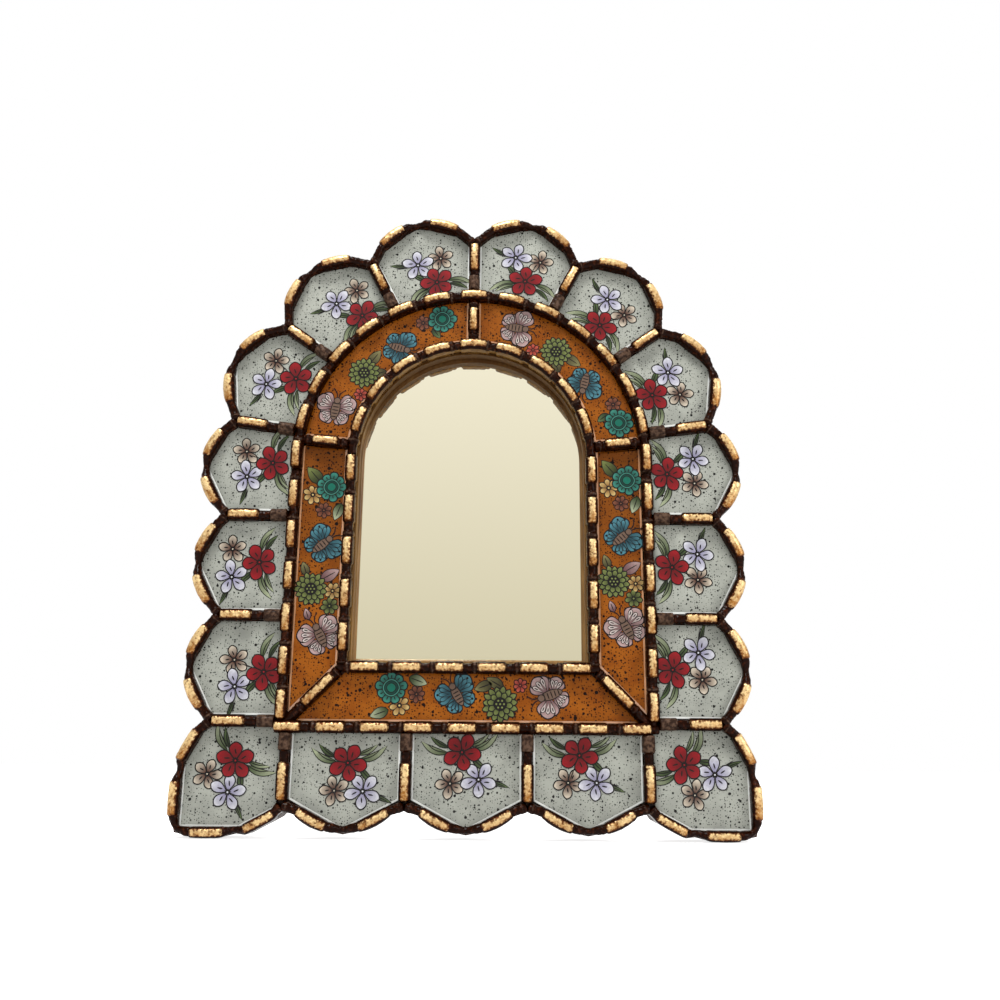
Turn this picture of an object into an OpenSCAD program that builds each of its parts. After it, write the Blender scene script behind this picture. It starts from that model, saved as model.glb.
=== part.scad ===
// Arched wall mirror in a wooden frame, its face laid with panes of reverse painted glass
// between gilt and dark ridges. Seen from the front: X to the right, Z up, the front faces -Y.
// The panes and ridges are drawn in a flat panel plan (x to the right, y up, z out of the face)
// whose y = 0 is the crown line of the middle bottom ridge, and hang() stands that plan upright.

/* [Opening and band] */
// Half the distance between the crowns of the inner side ridges, and the radius of the inner arch
inner_r = 53; // [48:0.5:58]
// Height of the inner bottom ridge above the middle bottom ridge
inner_rise = 24.7; // [20:0.1:32]
// Width of the band, from the crowns of the inner ridges to the crowns of the middle ridges
band_w = 24.4; // [21:0.1:29]
// Height of the arch centre above the middle bottom ridge
spring_h = 117.6; // [114:0.1:124]
// Angle above level of the two band dividers at the spring of the arch
band_turn = 5.5; // [3:0.5:9]

/* [Petals] */
// Distance from the centre line to the tip of a side pane
side_reach = 116.1; // [113:0.1:120]
// Distance from the arch centre to the tip of an arch pane
arch_reach = 115.7; // [113:0.1:119]
// Distance from the middle bottom ridge down to the tip of a bottom pane
bottom_reach = 39.6; // [37:0.1:43]
// Depth of the valley between two side petals, from the tips of their panes
side_notch = 10.2; // [8:0.1:12]
// Depth of the valley between two arch petals, from the tips of their panes
arch_notch = 12.1; // [10:0.1:14]
// Depth of the valley between two bottom petals, from the tips of their panes
bottom_notch = 8.4; // [7:0.1:10]
// Angle between two dividers on the arch
arch_step = 27.25; // [26.5:0.05:28]
// Distance between two dividers on a straight side
side_step = 43.85; // [42:0.05:45]
// Height of the lowest side divider above the middle bottom ridge
low_divider = 2.2; // [0:0.1:4]
// Distance between two dividers along the bottom
bottom_step = 50; // [48:0.1:51]
// Distance from the middle bottom ridge down to the side tip of a corner pane
corner_drop = 17.7; // [15:0.1:20]
// Distance from the centre line to the bottom tip of a corner pane
corner_out = 93.4; // [91:0.1:96]

/* [Ridges] */
// Width of a gilt bar on the dividers, the middle ridge and the inner ridge
bar_w = 5.2; // [4.8:0.1:5.6]
// Width of the dark neck between those bars
neck_w = 4.6; // [4:0.1:4.7]
// Width of a gilt bar on the outer ridge
outer_w = 4.3; // [3.8:0.1:4.6]
// Width of the dark neck of the outer ridge at a valley
outer_neck_w = 3.7; // [3.2:0.1:3.8]
// Width of the thin neck at the tip of a petal
tip_w = 2; // [1.6:0.1:2.4]
// Height of a gilt bar above the face of the glass
crown_h = 5.5; // [4.5:0.1:6.5]
// How much lower a dark neck lies than a gilt bar
neck_drop = 1.1; // [0.6:0.1:1.6]
// How much lower the thin neck at a tip lies than a gilt bar
tip_drop = 3.6; // [3:0.1:4]
// Length of a gilt bar on the middle ridge
mid_bar = 10.6; // [9:0.1:12]
// Distance between two bars on the straight middle ridges
mid_pitch = 18.1; // [17.5:0.1:18.4]
// Bars on the arch of the middle ridge, with the two at the spring
mid_arch_bars = 15; // [13:2:17]
// Length of a gilt bar on the inner ridge
inner_bar = 11.2; // [9:0.1:12]
// Distance between two bars on the straight inner sides
inner_pitch = 18.6; // [17.8:0.1:18.8]
// Distance between two bars on the inner bottom ridge
inner_low_pitch = 17.4; // [16:0.1:18]
// Bars on the arch of the inner ridge
inner_arch_bars = 9; // [7:2:9]
// Length of a gilt bar on the outer ridge
outer_bar = 13.2; // [11:0.1:14]
// Angle between the outer bars and the line across the petal's tip
bar_slope = 27.6; // [25:0.1:29]
// How far a neck of the outer ridge runs on into what it meets
neck_lap = 0.4; // [0.2:0.1:0.8]
// Distance from the tip of a pane to where its two bars would meet
bar_over = 3.2; // [3:0.1:4]
// How far short of the valley a petal divider stops
divider_stop = 1.5; // [1:0.1:2]
// Length of the gilt bar on a petal divider
divider_bar = 13.6; // [11:0.1:14]
// Length of the gilt bar on a band divider
band_bar = 11.3; // [9:0.1:12]
// Length of the gilt bar on a mitre divider
mitre_bar = 17; // [13:0.1:19]
// Length of the middle arch ridge below the spring
arch_leg = 7; // [6.5:0.1:8]

/* [Depth] */
// Thickness of the base board
board_t = 15; // [13:0.5:20]
// Thickness of the painted glass
glass_t = 2; // [1.5:0.1:3]
// Depth of the mirror's face below the face of the painted glass
mirror_set = 9.1; // [7.5:0.1:9.5]
// Thickness of the mirror
mirror_t = 3; // [2:0.1:4]
// Thickness of the backing board
backing_t = 3; // [2:0.1:3.5]
// Gap between a pane and the ridges round it
glass_gap = 0.15; // [0.1:0.01:0.25]
// Gap between pieces that lie against each other on curved faces
seat_gap = 0.05; // [0.02:0.01:0.1]
// How far the board's edge lies inside the foot of the outer ridge
board_inset = 0.25; // [0:0.05:0.5]

/* [Liner and rebate] */
// Thickness of the liner round the opening
liner_t = 1; // [0.8:0.1:1.5]
// How far the liner shows inside the foot of the inner ridge
liner_show = 0.4; // [0.2:0.1:0.8]
// Width of the small bead at the foot of the liner
bead_w = 1.3; // [0.8:0.1:2]
// Height of that bead
bead_h = 1.5; // [1:0.1:2.5]
// How far the mirror reaches under the board round the opening
rebate_w = 4; // [3:0.1:6]
// Gap round the mirror and the backing board in the rebate
rebate_gap = 0.5; // [0.3:0.1:1]
// Radius of a backing pin
pin_r = 0.6; // [0.4:0.05:0.8]
// Length of a backing pin
pin_l = 10; // [8:0.5:12]
// Length of a pin that is driven into the board
pin_in = 5; // [4:0.5:7]

/* [Hanger] */
// Depth of the pocket in the back of the board that holds the hanger
pocket_depth = 4.6; // [4.4:0.1:6]
// Room round the hanger in its pocket
pocket_room = 1.9; // [1:0.1:2.2]
// Height of the ring's hinge above the arch centre
hinge_up = 86.4; // [84:0.1:88]
// Radius of the ring's straight bar
ring_bar_r = 1; // [0.8:0.05:1.2]
// Radius of the wire round the rest of the ring
ring_wire_r = 1.1; // [0.9:0.05:1.3]
// Radius of the ring's bow, to the middle of the wire
ring_bow_r = 9; // [8.6:0.1:11]
// Length of the ring's straight legs
ring_leg = 3; // [2:0.1:4]
// Running gap between the ring's bar and its knuckle
ring_gap = 0.05; // [0.02:0.01:0.1]
// Width of the strap plate
strap_w = 14; // [12:0.1:14.4]
// Length of the strap plate from the hinge down
strap_l = 26; // [24:0.5:30]
// Thickness of the strap plate
strap_t = 1.6; // [1.2:0.1:1.8]
// Wall of the strap's knuckle
knuckle_t = 1.05; // [0.9:0.05:1.2]
// Distance from the hinge to the first screw
screw_first = 8; // [7:0.5:9]
// Distance between the two screws
screw_step = 11; // [9:0.5:12]
// Radius of the screw's shank
screw_r = 1.5; // [1.2:0.1:1.8]
// Radius of the screw's head
screw_head_r = 3; // [2.5:0.1:3.5]
// Height of the screw's head
screw_head_h = 1.2; // [0.8:0.1:1.4]
// Length of the screw below its head
screw_l = 9; // [6:0.5:10]
// Gap between the screw's shank and its hole in the strap
screw_gap = 0.1; // [0.05:0.01:0.2]

/* [Hidden] */
$fn = 96;
sep = 0.02;
far = arch_reach;
PETALS = 17;
mid_petal = 9;
corner_petal = 7;
low_petal = 8;
spring_divider = 3;
side_divider = 6;
arch_c = [0, spring_h];
// Half the distance between the crowns of the middle side ridges, and the radius of the middle arch
band_r = inner_r + band_w;
side_valley = side_reach - side_notch;
arch_valley = arch_reach - arch_notch;
bottom_valley = bottom_reach - bottom_notch;
face_z = board_t;
glass_z = board_t + glass_t;
bar_h = glass_t + crown_h;
neck_h = bar_h - neck_drop;
tip_h = bar_h - tip_drop;
mirror_z = glass_z - mirror_set;
mid_bulge = norm([band_r + bar_w / 2, mid_bar / 2]) - band_r - bar_w / 2;
inner_bulge = norm([inner_r + bar_w / 2, inner_bar / 2]) - inner_r - bar_w / 2;
rebate_half = inner_r - bar_w / 2 + rebate_w + rebate_gap;
opening_half = inner_r - bar_w / 2 - liner_show + liner_t;
liner_half = opening_half - seat_gap;
opening_low = inner_rise + inner_r - opening_half;
hinge_z = spring_h + hinge_up;
knuckle_r = ring_bar_r + ring_gap + knuckle_t;
ring_top = hinge_z + ring_leg + ring_bow_r - ring_wire_r;
side_pins = [0.4, 0.87] * spring_h;
arch_pins = [45, 90, 135];

petal_names = [for (i = [1 : PETALS]) str("petal_glass_", i)];
outer_names = [for (i = [1 : PETALS]) str("outer_ridge_", i)];

wood = [0.30, 0.17, 0.09];
liner_tone = [0.45, 0.27, 0.12];
bole = [0.20, 0.09, 0.06];
gilt = [0.85, 0.66, 0.32];
celadon = [0.68, 0.70, 0.64];
amber = [0.72, 0.35, 0.08];

// A unit direction at an angle, and a point at a distance in that direction
function dir(a) = [cos(a), sin(a)];
function at(o, a, r) = o + r * dir(a);
// A point in a petal's own frame: r outward along the angle a, s to the left of it
function local(o, a, r, s) = at(at(o, a, r), a + 90, s);

// The dividers on the right half, clockwise from the top: foot on the middle ridge, angle, valley
function divider(k) =
    k <= spring_divider ? let (a = 90 - arch_step * k)
        [at(arch_c, a, band_r), a, at(arch_c, a, arch_valley + (k == spring_divider ? side_extra : 0))] :
    k <= side_divider ? let (y = low_divider + side_step * (side_divider - k))
        [[band_r, y], 0, [side_valley, y]] :
    let (x = bottom_step * (mid_petal + 0.5 - k - 1)) [[x, 0], -90, [x, -bottom_valley]];
side_extra = side_valley - arch_valley;
// The middle between two dividers of a straight run, and the height of the fourth petal's tip
function mid_of(j) = (divider(j - 1)[2] + divider(j)[2]) / 2;

// A petal's frame: where its tip is measured from, its angle, its reach, its half width
function petal_frame(j) =
    j <= spring_divider ? [arch_c, 90 - arch_step * (j - 0.5), arch_reach, arch_valley * sin(arch_step / 2)] :
    j <= side_divider ? [[0, mid_of(j)[1]], 0, side_reach, norm(divider(j)[2] - divider(j - 1)[2]) / 2] :
    [[mid_of(j)[0], 0], -90, bottom_reach, bottom_step / 2];

// The two ends of the gilt bar on one slope of a petal: side 1 is its left slope, -1 its right
function slope_bar(f, half_w, side) =
    let (run = outer_bar * cos(bar_slope) / 2, mid = half_w / 2, t = tan(bar_slope))
    [for (s = side * [mid + side * run, mid - side * run])
        local(f[0], f[1], f[2] + bar_over - abs(s) * t, s)];
function tip_knot(f) = local(f[0], f[1], f[2] + tip_w / 2, 0);

corner_side = [[0, -corner_drop], 0, side_reach];
corner_low = [[corner_out, 0], -90, bottom_reach];
corner_line = [side_reach, bottom_reach] + [1, 1] * outer_w / 2;

// The crown line of a petal's outer ridge, clockwise from valley to valley
function outer_path(j) =
    j == corner_petal ?
        let (
            up = slope_bar(corner_side, low_divider + corner_drop, 1),
            low = slope_bar(corner_low, corner_out - divider(corner_petal)[2][0], -1),
            side_mid = -(corner_drop + bottom_reach) / 2,
            low_mid = (corner_out + side_reach) / 2,
            h = outer_bar / 2
        )
        [divider(j - 1)[2], up[0], up[1], tip_knot(corner_side),
         [corner_line[0], side_mid + h], [corner_line[0], side_mid - h],
         [side_reach, -bottom_reach] + [1, -1] * tip_w / 2,
         [low_mid + h, -corner_line[1]], [low_mid - h, -corner_line[1]],
         tip_knot(corner_low), low[0], low[1], divider(j)[2]] :
        let (f = petal_frame(j), left = slope_bar(f, f[3], 1), right = slope_bar(f, f[3], -1))
        [divider(j - 1)[2], left[0], left[1], tip_knot(f), right[0], right[1], divider(j)[2]];

// Every third stretch of an outer path is a gilt bar, the first and last are valley necks
function is_bar(i) = i % 3 == 1;
function stretch_w(i, n) = is_bar(i) ? outer_w : (i == 0 || i == n - 1 ? outer_neck_w : tip_w);
function stretch_h(i, n) = is_bar(i) ? bar_h : (i == 0 || i == n - 1 ? neck_h : tip_h);

// The board's edge along one petal: its outer path moved outward, with mitred corners
function dir_of(p, q) = (q - p) / norm(q - p);
function left_of(p, q) = let (d = dir_of(p, q)) [-d[1], d[0]];
function edge_points(path, out, a0, a1) =
    let (n = len(path), first = left_of(path[0], path[1]), last = left_of(path[n - 2], path[n - 1]))
    concat(
        [path[0] + dir(a0) * out / (first * dir(a0))],
        [for (i = [1 : n - 2])
            let (p = left_of(path[i - 1], path[i]), q = left_of(path[i], path[i + 1]))
            path[i] + (p + q) * out / (1 + p * q)],
        [path[n - 1] + dir(a1) * out / (last * dir(a1))]
    );
function board_edge(j) =
    edge_points(outer_path(j), outer_w / 2 - board_inset, divider(j - 1)[1], divider(j)[1]);
function mirrored(pts) = [for (i = [len(pts) - 1 : -1 : 0]) [-pts[i][0], pts[i][1]]];
function but_last(pts) = [for (i = [0 : len(pts) - 2]) pts[i]];
function board_points() = [for (j = [1 : PETALS])
    each but_last(j <= mid_petal ? board_edge(j) : mirrored(board_edge(PETALS + 1 - j)))];

// Stands the panel plan upright, with the hanging point at the origin
module hang() translate([0, 0, -ring_top]) rotate([90, 0, 0]) children();

// Draws a right-hand petal as it is, and a left-hand one as the mirror image of its twin
module on_side(i) {
    if (i <= mid_petal) children();
    else mirror([1, 0, 0]) children();
}
function twin(i) = i <= mid_petal ? i : PETALS + 1 - i;

// A flat arch: a half circle on the spring line over a rectangle that ends at low
module arch_flat(half, low) {
    translate(arch_c) difference() {
        circle(half);
        translate([-2 * half, -2 * half]) square([4 * half, 2 * half]);
    }
    translate([-half, low]) square([2 * half, spring_h - low]);
}

// The section of a ridge: straight flanks and a half round crown
module ridge_section(w, h) {
    translate([-w / 2, 0]) square([w, h - w / 2]);
    translate([0, h - w / 2]) circle(w / 2);
}

// A straight ridge that stands on the board from p to q
module rod(p, q, w, h) {
    d = q - p;
    translate([p[0], p[1], face_z]) rotate([0, 0, atan2(d[1], d[0])])
        rotate([90, 0, 90]) linear_extrude(norm(d)) ridge_section(w, h);
}

// A straight ridge's print on the board, wider by gap all round
module print(p, q, w, gap) {
    d = q - p;
    translate(p) rotate(atan2(d[1], d[0]))
        translate([-gap, -w / 2 - gap]) square([norm(d) + 2 * gap, w + 2 * gap]);
}

// The wedge of the panel that belongs to petal j, between its two dividers
module sector(j) {
    a = divider(j - 1);
    b = divider(j);
    pa = a[0] - dir(a[1] + 90) * sep;
    pb = b[0] + dir(b[1] + 90) * sep;
    ends = [pa + far * dir(a[1]), pb + far * dir(b[1])];
    corner = j == corner_petal ? [[ends[0][0], ends[1][1]]] : [];
    polygon(concat([pa, ends[0]], corner, [ends[1], pb]));
}

// The part of a divider's print that lies inside the outer ridge
function divider_end(k) = let (d = divider(k)) d[2] - dir(d[1]) * divider_stop;

module petal_flat(j) {
    path = outer_path(j);
    n = len(path) - 1;
    foot = j == corner_petal ? [[band_r, 0]] : [];
    difference() {
        polygon(concat(path, [divider(j)[0]], foot, [divider(j - 1)[0]]));
        arch_flat(band_r + bar_w / 2 + mid_bulge + glass_gap, -bar_w / 2 - glass_gap);
        for (i = [0 : n - 1]) print(path[i], path[i + 1], stretch_w(i, n), glass_gap);
        for (k = [j - 1, j]) print(divider(k)[0], divider(k)[2], bar_w, glass_gap);
    }
}

module petal_glass(i) {
    color(celadon) hang() on_side(i)
        translate([0, 0, face_z]) linear_extrude(glass_t) petal_flat(twin(i));
}

module outer_ridge(i) {
    j = twin(i);
    path = outer_path(j);
    n = len(path) - 1;
    color(gilt) hang() on_side(i) difference() {
        intersection() {
            union() for (k = [0 : n - 1]) {
                more = is_bar(k) ? [0, 0] : neck_lap * dir_of(path[k], path[k + 1]);
                rod(path[k] - more, path[k + 1] + more, stretch_w(k, n), stretch_h(k, n));
            }
            linear_extrude(face_z + 2 * bar_h) sector(j);
        }
        for (k = [j - 1, j]) linear_extrude(face_z + 2 * bar_h)
            print(divider(k)[0], divider_end(k), bar_w, sep);
    }
}

// A petal divider: a dark neck from the middle ridge out, and a gilt bar on its outer part
module petal_divider(k) {
    foot = divider(k)[0];
    end = divider_end(k);
    difference() {
        union() {
            rod(foot, end, neck_w, neck_h);
            rod(end - dir(divider(k)[1]) * divider_bar, end, bar_w, bar_h);
        }
        linear_extrude(face_z + 2 * bar_h)
            arch_flat(band_r + bar_w / 2 + mid_bulge + sep, -bar_w / 2 - sep);
    }
}

module arch_dividers() {
    color(gilt) hang() {
        for (k = [0 : spring_divider]) petal_divider(k);
        for (k = [1 : spring_divider]) mirror([1, 0, 0]) petal_divider(k);
    }
}

module side_dividers() {
    color(gilt) hang() for (m = [0, 1], k = [spring_divider + 1 : side_divider])
        mirror([m, 0, 0]) petal_divider(k);
}

module bottom_dividers() {
    color(gilt) hang() for (m = [0, 1], k = [corner_petal, low_petal])
        mirror([m, 0, 0]) petal_divider(k);
}

// The flat ring between the inner and the middle ridge, drawn in by gap. The corners of the
// straight bars stand out of their arch by its bulge, and what lies outside an arch clears them.
module band_flat(gap) {
    difference() {
        arch_flat(band_r - bar_w / 2 - gap, bar_w / 2 + gap);
        arch_flat(inner_r + bar_w / 2 + inner_bulge + gap, inner_rise - bar_w / 2 - gap);
    }
}

// The crown lines of the band dividers: top centre, right spring and right mitre
function band_line(k) =
    k == 0 ? [at(arch_c, 90, inner_r), at(arch_c, 90, band_r)] :
    k == 1 ? [at(arch_c, band_turn, inner_r), at(arch_c, band_turn, band_r)] :
    [[inner_r, inner_rise], [band_r, 0]];

module band_divider(k) {
    line = band_line(k);
    mid = (line[0] + line[1]) / 2;
    u = dir_of(line[0], line[1]);
    l = k == 2 ? mitre_bar : band_bar;
    intersection() {
        union() {
            rod(line[0], line[1], neck_w, neck_h);
            rod(mid - u * l / 2, mid + u * l / 2, bar_w, bar_h);
        }
        translate([0, 0, face_z]) linear_extrude(2 * bar_h) band_flat(sep);
    }
}

module band_dividers() {
    color(gilt) hang() {
        band_divider(0);
        for (m = [0, 1], k = [1, 2]) mirror([m, 0, 0]) band_divider(k);
    }
}

// One pane of the band: the ring inside a polygon, less the dividers that bound it
module band_pane(outline, lines) {
    color(amber) hang() translate([0, 0, face_z]) linear_extrude(glass_t) difference() {
        intersection() {
            band_flat(glass_gap);
            polygon(outline);
        }
        for (m = [0, 1], k = lines) mirror([m, 0]) print(band_line(k)[0], band_line(k)[1], bar_w, glass_gap);
    }
}

function spring_reach() = at(arch_c, band_turn, far);
module band_arch(m) {
    mirror([m, 0, 0]) band_pane([arch_c, spring_reach(), [far, spring_h + far], [0, spring_h + far]], [0, 1]);
}
module band_side(m) {
    mirror([m, 0, 0]) band_pane([arch_c, spring_reach(), [far, band_line(2)[1][1]], band_line(2)[1],
        band_line(2)[0]], [1, 2]);
}
module band_glass_arch_left() band_arch(1);
module band_glass_arch_right() band_arch(0);
module band_glass_side_left() band_side(1);
module band_glass_side_right() band_side(0);
module band_glass_bottom() {
    low = band_line(2);
    band_pane([low[0], low[1], [-low[1][0], low[1][1]], [-low[0][0], low[0][1]]], [2]);
}

// A row of gilt bars centred on mid, along the angle a
module bar_row(mid, a, count, pitch, l) {
    for (i = [0 : count - 1]) {
        c = at(mid, a, (i - (count - 1) / 2) * pitch);
        rod(at(c, a, -l / 2), at(c, a, l / 2), bar_w, bar_h);
    }
}

// A half round arch ridge with straight legs and evenly spread bars
module arch_ridge(r, leg, angles, l) {
    color(gilt) hang() union() {
        translate([0, spring_h, face_z]) rotate_extrude(angle = 180)
            translate([r, 0]) ridge_section(neck_w, neck_h);
        for (x = [-r, r]) if (leg > 0) rod([x, spring_h - leg], [x, spring_h], neck_w, neck_h);
        for (a = angles) {
            c = at(arch_c, a, r);
            rod(at(c, a - 90, l / 2), at(c, a + 90, l / 2), bar_w, bar_h);
        }
    }
}

module middle_ridge_arch() {
    step = 180 / (mid_arch_bars - 1);
    arch_ridge(band_r, arch_leg, [for (i = [0 : mid_arch_bars - 1]) i * step], mid_bar);
}

module middle_side(x) {
    count = floor((spring_h - (mid_bar + bar_w) / 2) / mid_pitch);
    color(gilt) hang() union() {
        rod([x, bar_w / 2], [x, spring_h - arch_leg], neck_w, neck_h);
        bar_row([x, spring_h - (count + 1) / 2 * mid_pitch], 90, count, mid_pitch, mid_bar);
    }
}
module middle_ridge_left() middle_side(-band_r);
module middle_ridge_right() middle_side(band_r);

module middle_ridge_bottom() {
    half = band_r + bar_w / 2;
    color(gilt) hang() union() {
        rod([-half, 0], [half, 0], neck_w, neck_h);
        bar_row([0, 0], 0, floor((2 * half - mid_bar) / mid_pitch) + 1, mid_pitch, mid_bar);
    }
}

module inner_ridge_arch() {
    step = 180 / (inner_arch_bars + 1);
    arch_ridge(inner_r, 0, [for (i = [1 : inner_arch_bars]) i * step], inner_bar);
}

module inner_side(x) {
    run = spring_h - inner_rise - bar_w / 2;
    count = floor((run - inner_bar) / inner_pitch) + 1;
    color(gilt) hang() union() {
        rod([x, inner_rise + bar_w / 2], [x, spring_h], neck_w, neck_h);
        bar_row([x, spring_h - inner_bar / 2 - (count - 1) / 2 * inner_pitch], 90, count, inner_pitch,
            inner_bar);
    }
}
module inner_ridge_left() inner_side(-inner_r);
module inner_ridge_right() inner_side(inner_r);

module inner_ridge_bottom() {
    half = inner_r + bar_w / 2;
    color(gilt) hang() union() {
        rod([-half, inner_rise], [half, inner_rise], neck_w, neck_h);
        bar_row([0, inner_rise], 0, floor((2 * half - inner_bar) / inner_low_pitch) + 1, inner_low_pitch,
            inner_bar);
    }
}

// The pins lie on the backing board and are driven into the rebate's wall
module pins(r) {
    z = mirror_z - mirror_t - backing_t - pin_r - sep;
    from = rebate_half + pin_in - pin_l;
    for (a = arch_pins) translate([0, spring_h, z]) rotate([0, 0, a])
        translate([from, 0, 0]) rotate([0, 90, 0]) cylinder(h = pin_l, r = r);
    for (y = side_pins, m = [0, 1]) mirror([m, 0, 0])
        translate([from, y, z]) rotate([0, 90, 0]) cylinder(h = pin_l, r = r);
    for (x = [-1, 1] * inner_r / 2) translate([x, rebate_low + pin_l - pin_in, z])
        rotate([90, 0, 0]) cylinder(h = pin_l, r = r);
}
rebate_low = inner_rise + inner_r - rebate_half;

module screw_holes(r, from, l) {
    for (i = [0, 1]) translate([0, hinge_z - screw_first - i * screw_step, from]) cylinder(h = l, r = r);
}

module base_board() {
    color(wood) hang() difference() {
        linear_extrude(board_t) polygon(board_points());
        translate([0, 0, -sep]) linear_extrude(board_t + 1) arch_flat(opening_half, opening_low);
        translate([0, 0, -sep]) linear_extrude(mirror_z + sep) arch_flat(rebate_half, rebate_low);
        pins(pin_r + sep);
        translate([0, 0, -sep]) linear_extrude(pocket_depth + sep) pocket_flat();
        screw_holes(screw_r + sep, pocket_depth - sep, screw_l - strap_t + 2 * sep);
    }
}

module opening_liner() {
    low = opening_low + seat_gap;
    color(liner_tone) hang() difference() {
        translate([0, 0, mirror_z]) linear_extrude(face_z - mirror_z) arch_flat(liner_half, low);
        translate([0, 0, mirror_z + bead_h]) linear_extrude(board_t)
            arch_flat(liner_half - liner_t, low + liner_t);
        translate([0, 0, mirror_z - 1]) linear_extrude(board_t)
            arch_flat(liner_half - liner_t - bead_w, low + liner_t + bead_w);
    }
}

module rebate_sheet(z, t) {
    half = rebate_half - rebate_gap;
    hang() translate([0, 0, z]) linear_extrude(t) arch_flat(half, rebate_low + rebate_gap);
}
module mirror_pane() color([0.82, 0.80, 0.72]) rebate_sheet(mirror_z - mirror_t, mirror_t);
module backing_board() color([0.55, 0.42, 0.28])
    rebate_sheet(mirror_z - mirror_t - backing_t, backing_t);
module backing_pins() color("silver") hang() pins(pin_r);

// The hanger stands on the floor of its pocket, and its heights are measured from there backward
module in_pocket() hang() translate([0, 0, pocket_depth]) mirror([0, 0, 1]) children();

// The outline of the pocket: a slot with a round top
module pocket_flat() {
    half = ring_bow_r + ring_wire_r + pocket_room;
    low = hinge_z - strap_l - pocket_room;
    translate([0, hinge_z + ring_leg]) circle(half);
    translate([-half, low]) square([2 * half, hinge_z + ring_leg - low]);
}

module hanger_strap() {
    color("silver") in_pocket() difference() {
        union() {
            translate([-strap_w / 2, hinge_z - strap_l, 0]) cube([strap_w, strap_l, strap_t]);
            translate([-strap_w / 2, hinge_z, knuckle_r]) rotate([0, 90, 0])
                cylinder(h = strap_w, r = knuckle_r);
        }
        translate([-strap_w, hinge_z, knuckle_r]) rotate([0, 90, 0])
            cylinder(h = 2 * strap_w, r = ring_bar_r + ring_gap);
        screw_holes(screw_r + screw_gap, -1, strap_t + 2);
    }
}

module hanger_screws() {
    color("silver") in_pocket() {
        screw_holes(screw_head_r, strap_t, screw_head_h);
        screw_holes(screw_r, strap_t - screw_l, screw_l);
    }
}

module hanger_ring() {
    reach = ring_bow_r + ring_wire_r / 2;
    color("silver") in_pocket() translate([0, hinge_z, knuckle_r]) union() {
        translate([-reach, 0, 0]) rotate([0, 90, 0]) cylinder(h = 2 * reach, r = ring_bar_r);
        for (x = [-ring_bow_r, ring_bow_r])
            translate([x, 0, 0]) rotate([-90, 0, 0]) cylinder(h = ring_leg, r = ring_wire_r);
        translate([0, ring_leg, 0]) rotate_extrude(angle = 180)
            translate([ring_bow_r, 0]) circle(ring_wire_r);
    }
}

base_board();
opening_liner();
mirror_pane();
backing_board();
backing_pins();
hanger_strap();
hanger_screws();
hanger_ring();
for (i = [1 : PETALS]) petal_glass(i);
for (i = [1 : PETALS]) outer_ridge(i);
band_glass_arch_left();
band_glass_arch_right();
band_glass_side_left();
band_glass_side_right();
band_glass_bottom();
middle_ridge_arch();
middle_ridge_left();
middle_ridge_right();
middle_ridge_bottom();
inner_ridge_arch();
inner_ridge_left();
inner_ridge_right();
inner_ridge_bottom();
arch_dividers();
side_dividers();
bottom_dividers();
band_dividers();
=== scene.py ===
# %% [markdown]
# A wall mirror framed in reverse painted glass.
# The solid model already holds each piece at its real size and place, and nothing here moves one.
# These cells give the pieces their looks: painted glass, gilt ridges, a golden-brown reveal and a
# soft silvered mirror. The model is loaded first, and its box is kept for the last cell.

import bmesh
import bpy
import numpy as np
from mathutils import Matrix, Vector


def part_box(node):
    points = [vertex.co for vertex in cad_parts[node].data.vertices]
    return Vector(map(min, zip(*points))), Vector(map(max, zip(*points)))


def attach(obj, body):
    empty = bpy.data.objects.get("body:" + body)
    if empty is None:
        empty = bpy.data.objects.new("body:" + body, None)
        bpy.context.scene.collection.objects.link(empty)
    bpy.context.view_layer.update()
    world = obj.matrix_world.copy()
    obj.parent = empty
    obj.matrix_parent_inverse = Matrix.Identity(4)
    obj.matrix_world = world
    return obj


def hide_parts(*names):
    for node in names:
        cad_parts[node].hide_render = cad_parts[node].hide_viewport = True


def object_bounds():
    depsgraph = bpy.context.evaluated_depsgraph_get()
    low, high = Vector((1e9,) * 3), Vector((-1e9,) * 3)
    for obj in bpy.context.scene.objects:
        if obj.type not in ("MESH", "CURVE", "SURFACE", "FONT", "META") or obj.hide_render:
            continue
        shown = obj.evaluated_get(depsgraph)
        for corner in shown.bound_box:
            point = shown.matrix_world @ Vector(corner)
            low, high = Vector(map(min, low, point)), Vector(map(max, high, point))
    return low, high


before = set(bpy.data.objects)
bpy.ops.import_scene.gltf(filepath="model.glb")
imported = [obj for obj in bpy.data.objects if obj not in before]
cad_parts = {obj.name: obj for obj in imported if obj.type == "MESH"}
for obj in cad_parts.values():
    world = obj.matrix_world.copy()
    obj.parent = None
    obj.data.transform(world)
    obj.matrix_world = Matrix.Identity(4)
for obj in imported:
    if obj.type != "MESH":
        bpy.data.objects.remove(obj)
cad_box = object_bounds()
MM = 0.001
print("solid pieces:", len(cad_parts))

# %% [markdown]
# The face of this mirror is easiest to think of as a flat plan, in millimetres: x to the right, y up
# from the middle bottom ridge, and z out of the face. The heights that the plan needs are read from
# the boxes of the solid pieces, so the plan follows the model if the model changes. Both arches turn
# about one point, the hub.

# %% Read the plan from the model


def box_mm(node):
    """A node's lowest and highest corners, in millimetres."""
    low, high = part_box(node)
    return np.array(low) / MM, np.array(high) / MM


def middle_mm(node):
    """The middle of a node's box: half the sum of its two corners."""
    low, high = box_mm(node)
    return (low + high) / 2


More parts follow.
